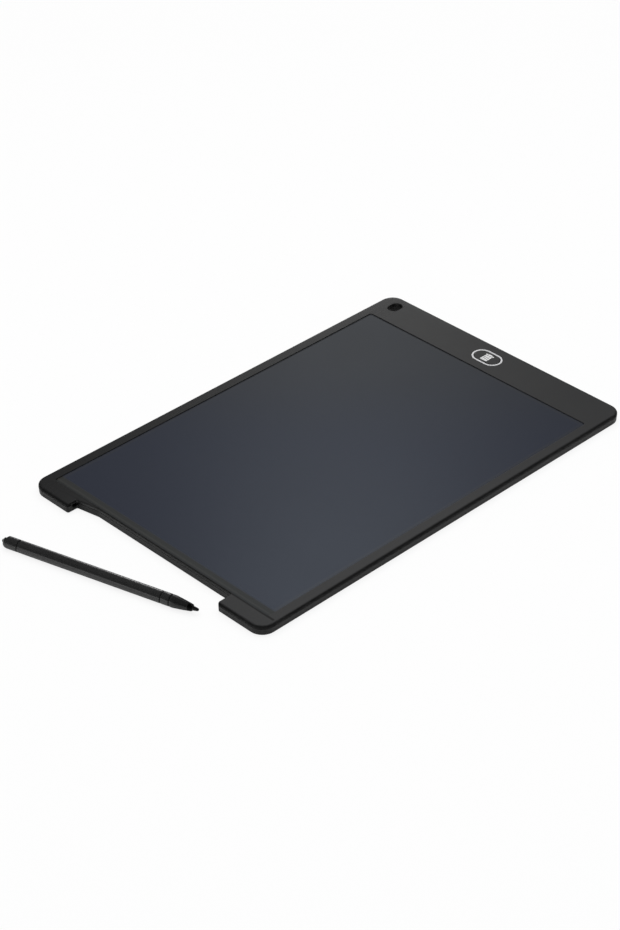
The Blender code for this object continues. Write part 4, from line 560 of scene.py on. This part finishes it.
def lead_material():
    """Flat film lead: copper tracks along it under an amber film."""
    made, tree, shader, coords = new_material("lead_look", COPPER_COLOUR, COPPER_ROUGHNESS)
    wave = maths(tree, "SINE", maths(tree, "MULTIPLY", parts_of(tree, coords)[0], 2 * pi / LEAD_PITCH))
    track = rise(tree, wave, -LEAD_TRACK_EDGE, LEAD_TRACK_EDGE)
    tarnish = noise(tree, coords, **METAL_TARNISH)
    copper = blend_colours(tree, spread(tree, tarnish, TARNISH_SHARE), COPPER_COLOUR, LEAD_DULL_COLOUR)
    put(shader.inputs["Base Color"], blend_colours(tree, track, LEAD_AMBER_COLOUR, copper))
    put(shader.inputs["Metallic"], track)
    put(shader.inputs["Roughness"], spread(tree, tarnish, LEAD_GLOSS))
    relief(tree, shader, track, LEAD_DEPTH)
    return made


def foam_material():
    """Dark open-celled foam, the hollows of its cells painted darker as shade."""
    made, tree, shader, coords = new_material("foam_look", FOAM_COLOUR, FOAM_ROUGHNESS, FOAM_SPECULAR)
    cells = tree.nodes.new("ShaderNodeTexVoronoi")
    put(cells.inputs["Vector"], coords)
    cells.inputs["Scale"].default_value = 1 / FOAM_CELL
    wall = spread(tree, cells.outputs["Distance"], (0, 1), FOAM_WALL_RANGE)
    # painted shade: dark in the middle of each cell, paler on the walls between
    put(shader.inputs["Base Color"], blend_colours(tree, wall, FOAM_HOLLOW_SHADE_COLOUR, FOAM_WALL_COLOUR))
    put(shader.inputs["Roughness"], spread(tree, noise(tree, coords, **FOAM_CLOUDS), FOAM_GLOSS))
    relief(tree, shader, wall, FOAM_DEPTH)
    return made


def make_looks():
    """One look for each material slot of the record."""
    looks = {slot: moulded_plastic(*values) for slot, values in MOULDED.items()}
    looks["cover_plastic"] = cover_plastic()
    looks["writing_film"] = film_material()
    looks["stylus_plastic"] = stylus_material()
    looks["foam"] = foam_material()
    looks["circuit_board"] = circuit_material()
    looks["copper"] = plain_metal("copper_look", COPPER_COLOUR, COPPER_ROUGHNESS)
    looks["steel"] = plain_metal("steel_look", STEEL_COLOUR, STEEL_ROUGHNESS)
    return looks


def dress_nodes(nodes, looks, own_looks):
    """Give every CAD node the look of its slot or its own, and weld and smooth its mesh with modifiers.

    The normals that came with the mesh are taken off, because they would keep its facets.
    """
    for name, node in nodes.items():
        for held in node.material_slots:
            held.material = own_looks.get(name) or looks[held.material.name.split(".")[0]]
        mesh = node.data
        if "custom_normal" in mesh.attributes:
            mesh.attributes.remove(mesh.attributes["custom_normal"])
        mesh.polygons.foreach_set("use_smooth", [True] * len(mesh.polygons))
        weld = node.modifiers.new("weld", "WELD")
        weld.merge_threshold = WELD_DISTANCE
        split = node.modifiers.new("split", "EDGE_SPLIT")
        split.split_angle = SMOOTH_ANGLE
        even = node.modifiers.new("even", "WEIGHTED_NORMAL")
        even.mode = "FACE_AREA"


# Added pieces
def add_piece(name, bm, look):
    """Turn a filled bmesh into an object of the scene with a moulded look."""
    bmesh.ops.recalc_face_normals(bm, faces=bm.faces)
    mesh = bpy.data.meshes.new(name)
    bm.to_mesh(mesh)
    bm.free()
    mesh.materials.append(moulded_plastic(*look))
    made = bpy.data.objects.new(name, mesh)
    bpy.context.scene.collection.objects.link(made)
    return made


def add_plate(bm, outline, low, high):
    """Thin plate with an outline in plan, between two heights."""
    lower = [bm.verts.new((x, y, low)) for x, y in outline]
    upper = [bm.verts.new((x, y, high)) for x, y in outline]
    for index in range(len(outline)):
        after = (index + 1) % len(outline)
        bm.faces.new((lower[index], lower[after], upper[after], upper[index]))
    bm.faces.new(lower[::-1])
    bm.faces.new(upper)


def rectangle(left, right, low, high):
    return [(left, low), (right, low), (right, high), (left, high)]


def icon_outlines(x, y):
    """Rectangles of a generic waste bin: its handle, its lid, and the ends and upright bars of its body."""
    top = y + ICON_LENGTH / 2
    lid_top = top - ICON_HANDLE_LENGTH
    lid_low = lid_top - ICON_LID
    body_top = lid_low - ICON_LID_GAP
    body_low = y - ICON_LENGTH / 2
    body_left, body_right = x - ICON_BODY_WIDTH / 2, x + ICON_BODY_WIDTH / 2
    outlines = [
        rectangle(x - ICON_HANDLE_WIDTH / 2, x + ICON_HANDLE_WIDTH / 2, lid_top, top),
        rectangle(x - ICON_WIDTH / 2, x + ICON_WIDTH / 2, lid_low, lid_top),
        rectangle(body_left, body_right, body_top - ICON_BAR, body_top),
        rectangle(body_left, body_right, body_low, body_low + ICON_BAR),
    ]
    pitch = (ICON_BODY_WIDTH - ICON_BAR) / ICON_SLOTS
    for bar in range(ICON_SLOTS + 1):
        left = body_left + bar * pitch
        outlines.append(rectangle(left, left + ICON_BAR, body_low + ICON_BAR, body_top - ICON_BAR))
    return outlines


def bin_icon():
    """Generic waste bin in white print on the erase button, upright towards +Y."""
    x, y, _ = middle("erase_button")
    _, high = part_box("erase_button")
    bm = bmesh.new()
    for outline in icon_outlines(x, y):
        add_plate(bm, outline, high.z - PRINT_SUNK, high.z + PRINT_HEIGHT)
    icon = add_piece("bin_icon", bm, PRINT_LOOK)
    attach(icon, "erase_key")


def groove_places(direction):
    """Middles of the three grooves of the stylus, from the boxes of its barrel and collar."""
    places = []
    for name, sides in (("stylus_barrel", (-1, 1)), ("stylus_collar", (1,))):
        low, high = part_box(name)
        size = high - low
        length = (size.x - size.z * abs(direction.y)) / abs(direction.x)
        reach = (length + GROOVE_WIDTH) / 2
        places += [middle(name) + direction * side * reach for side in sides]
    return places


def groove_washers():
    """A dark washer at the bottom of each groove of the stylus, where its pieces meet."""
    direction = stylus_direction()
    across = direction.cross(Vector((0, 0, 1))).normalized()
    upward = across.cross(direction)
    half = direction * WASHER_WIDTH / 2
    section = ((WASHER_RADIUS, -1), (WASHER_RADIUS, 1), (WASHER_BORE_RADIUS, 1), (WASHER_BORE_RADIUS, -1))
    bm = bmesh.new()
    for place in groove_places(direction):
        rings = []
        for step in range(WASHER_SIDES):
            angle = 2 * pi * step / WASHER_SIDES
            outward = across * cos(angle) + upward * sin(angle)
            rings.append([bm.verts.new(place + outward * radius + half * side) for radius, side in section])
        for step, ring in enumerate(rings):
            after = rings[(step + 1) % WASHER_SIDES]
            for corner in range(len(section)):
                bm.faces.new((ring[corner], ring[corner - 1], after[corner - 1], after[corner]))
    washers = add_piece("groove_washers", bm, WASHER_LOOK)
    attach(washers, "stylus")


# Floor, lamps and camera
def make_floor():
    """White ground that takes the shadow, and is partly plain white to the camera and in gloss."""
    bpy.ops.mesh.primitive_circle_add(
        vertices=FLOOR_SIDES, radius=FLOOR_RADIUS, fill_type="NGON", location=(0, 0, FLOOR_HEIGHT))
    floor = bpy.context.object
    floor.name = "floor"
    made = bpy.data.materials.new("floor_look")
    made.use_nodes = True
    tree = made.node_tree
    tree.nodes.remove(tree.nodes["Principled BSDF"])
    pale = tree.nodes.new("ShaderNodeBsdfDiffuse")
    put(pale.inputs["Color"], FLOOR_COLOUR)
    white = tree.nodes.new("ShaderNodeEmission")
    path = tree.nodes.new("ShaderNodeLightPath")
    mirrored = maths(tree, "MAXIMUM", path.outputs["Is Glossy Ray"], path.outputs["Is Transmission Ray"])
    share = maths(
        tree, "ADD",
        maths(tree, "MULTIPLY", path.outputs["Is Camera Ray"], FLOOR_WHITE_SHARE),
        maths(tree, "MULTIPLY", mirrored, FLOOR_GLOSSY_SHARE))
    mix = tree.nodes.new("ShaderNodeMixShader")
    put(mix.inputs[0], share)
    put(mix.inputs[1], pale.outputs[0])
    put(mix.inputs[2], white.outputs[0])
    put(tree.nodes["Material Output"].inputs["Surface"], mix.outputs[0])
    floor.data.materials.append(made)


def make_world():
    world = bpy.data.worlds.new("studio")
    bpy.context.scene.world = world
    world.use_nodes = True
    background = world.node_tree.nodes["Background"]
    put(background.inputs["Color"], WORLD_COLOUR)
    put(background.inputs["Strength"], WORLD_STRENGTH)


def make_lamp(name, place, size, power, mirrored):
    """A rectangular soft lamp that faces the object, seen in its gloss or not."""
    lamp = bpy.data.lights.new(name, "AREA")
    lamp.shape = "RECTANGLE"
    lamp.size, lamp.size_y = size
    lamp.energy = power
    made = bpy.data.objects.new(name, lamp)
    made.location = place
    made.rotation_euler = (-Vector(place)).to_track_quat("-Z", "Y").to_euler()
    made.visible_camera = False
    made.visible_glossy = mirrored
    bpy.context.scene.collection.objects.link(made)


def make_camera():
    data = bpy.data.cameras.new("photo_camera")
    data.sensor_width = SENSOR_WIDTH
    data.lens = FOCAL_PIXELS / LONG_SIDE_PIXELS * SENSOR_WIDTH
    data.clip_start = CAMERA_CLIP_START
    camera = bpy.data.objects.new("photo_camera", data)
    camera.matrix_world = (
        Matrix.Translation(CAMERA_PLACE)
        @ Matrix.Rotation(CAMERA_TURN, 4, "Z")
        @ Matrix.Rotation(pi / 2 - CAMERA_DROP, 4, "X")
        @ Matrix.Rotation(-CAMERA_ROLL, 4, "Z")
    )
    bpy.context.scene.collection.objects.link(camera)
    bpy.context.scene.camera = camera


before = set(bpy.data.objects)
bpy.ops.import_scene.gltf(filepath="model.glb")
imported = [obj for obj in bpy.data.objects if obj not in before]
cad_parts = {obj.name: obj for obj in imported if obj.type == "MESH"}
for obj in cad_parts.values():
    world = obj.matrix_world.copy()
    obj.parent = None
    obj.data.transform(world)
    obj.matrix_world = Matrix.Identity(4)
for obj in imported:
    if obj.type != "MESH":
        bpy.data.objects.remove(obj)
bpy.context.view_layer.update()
for spare in [o for o in bpy.data.objects if o.type in {"CAMERA", "LIGHT"}]:
    bpy.data.objects.remove(spare)
bpy.context.scene.view_settings.view_transform = "Standard"
dress_nodes(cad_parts, make_looks(), {"film_tail": lead_material()})
bin_icon()
groove_washers()
make_floor()
make_world()
for lamp_name, lamp_values in LAMPS.items():
    make_lamp(lamp_name, **lamp_values)
make_camera()
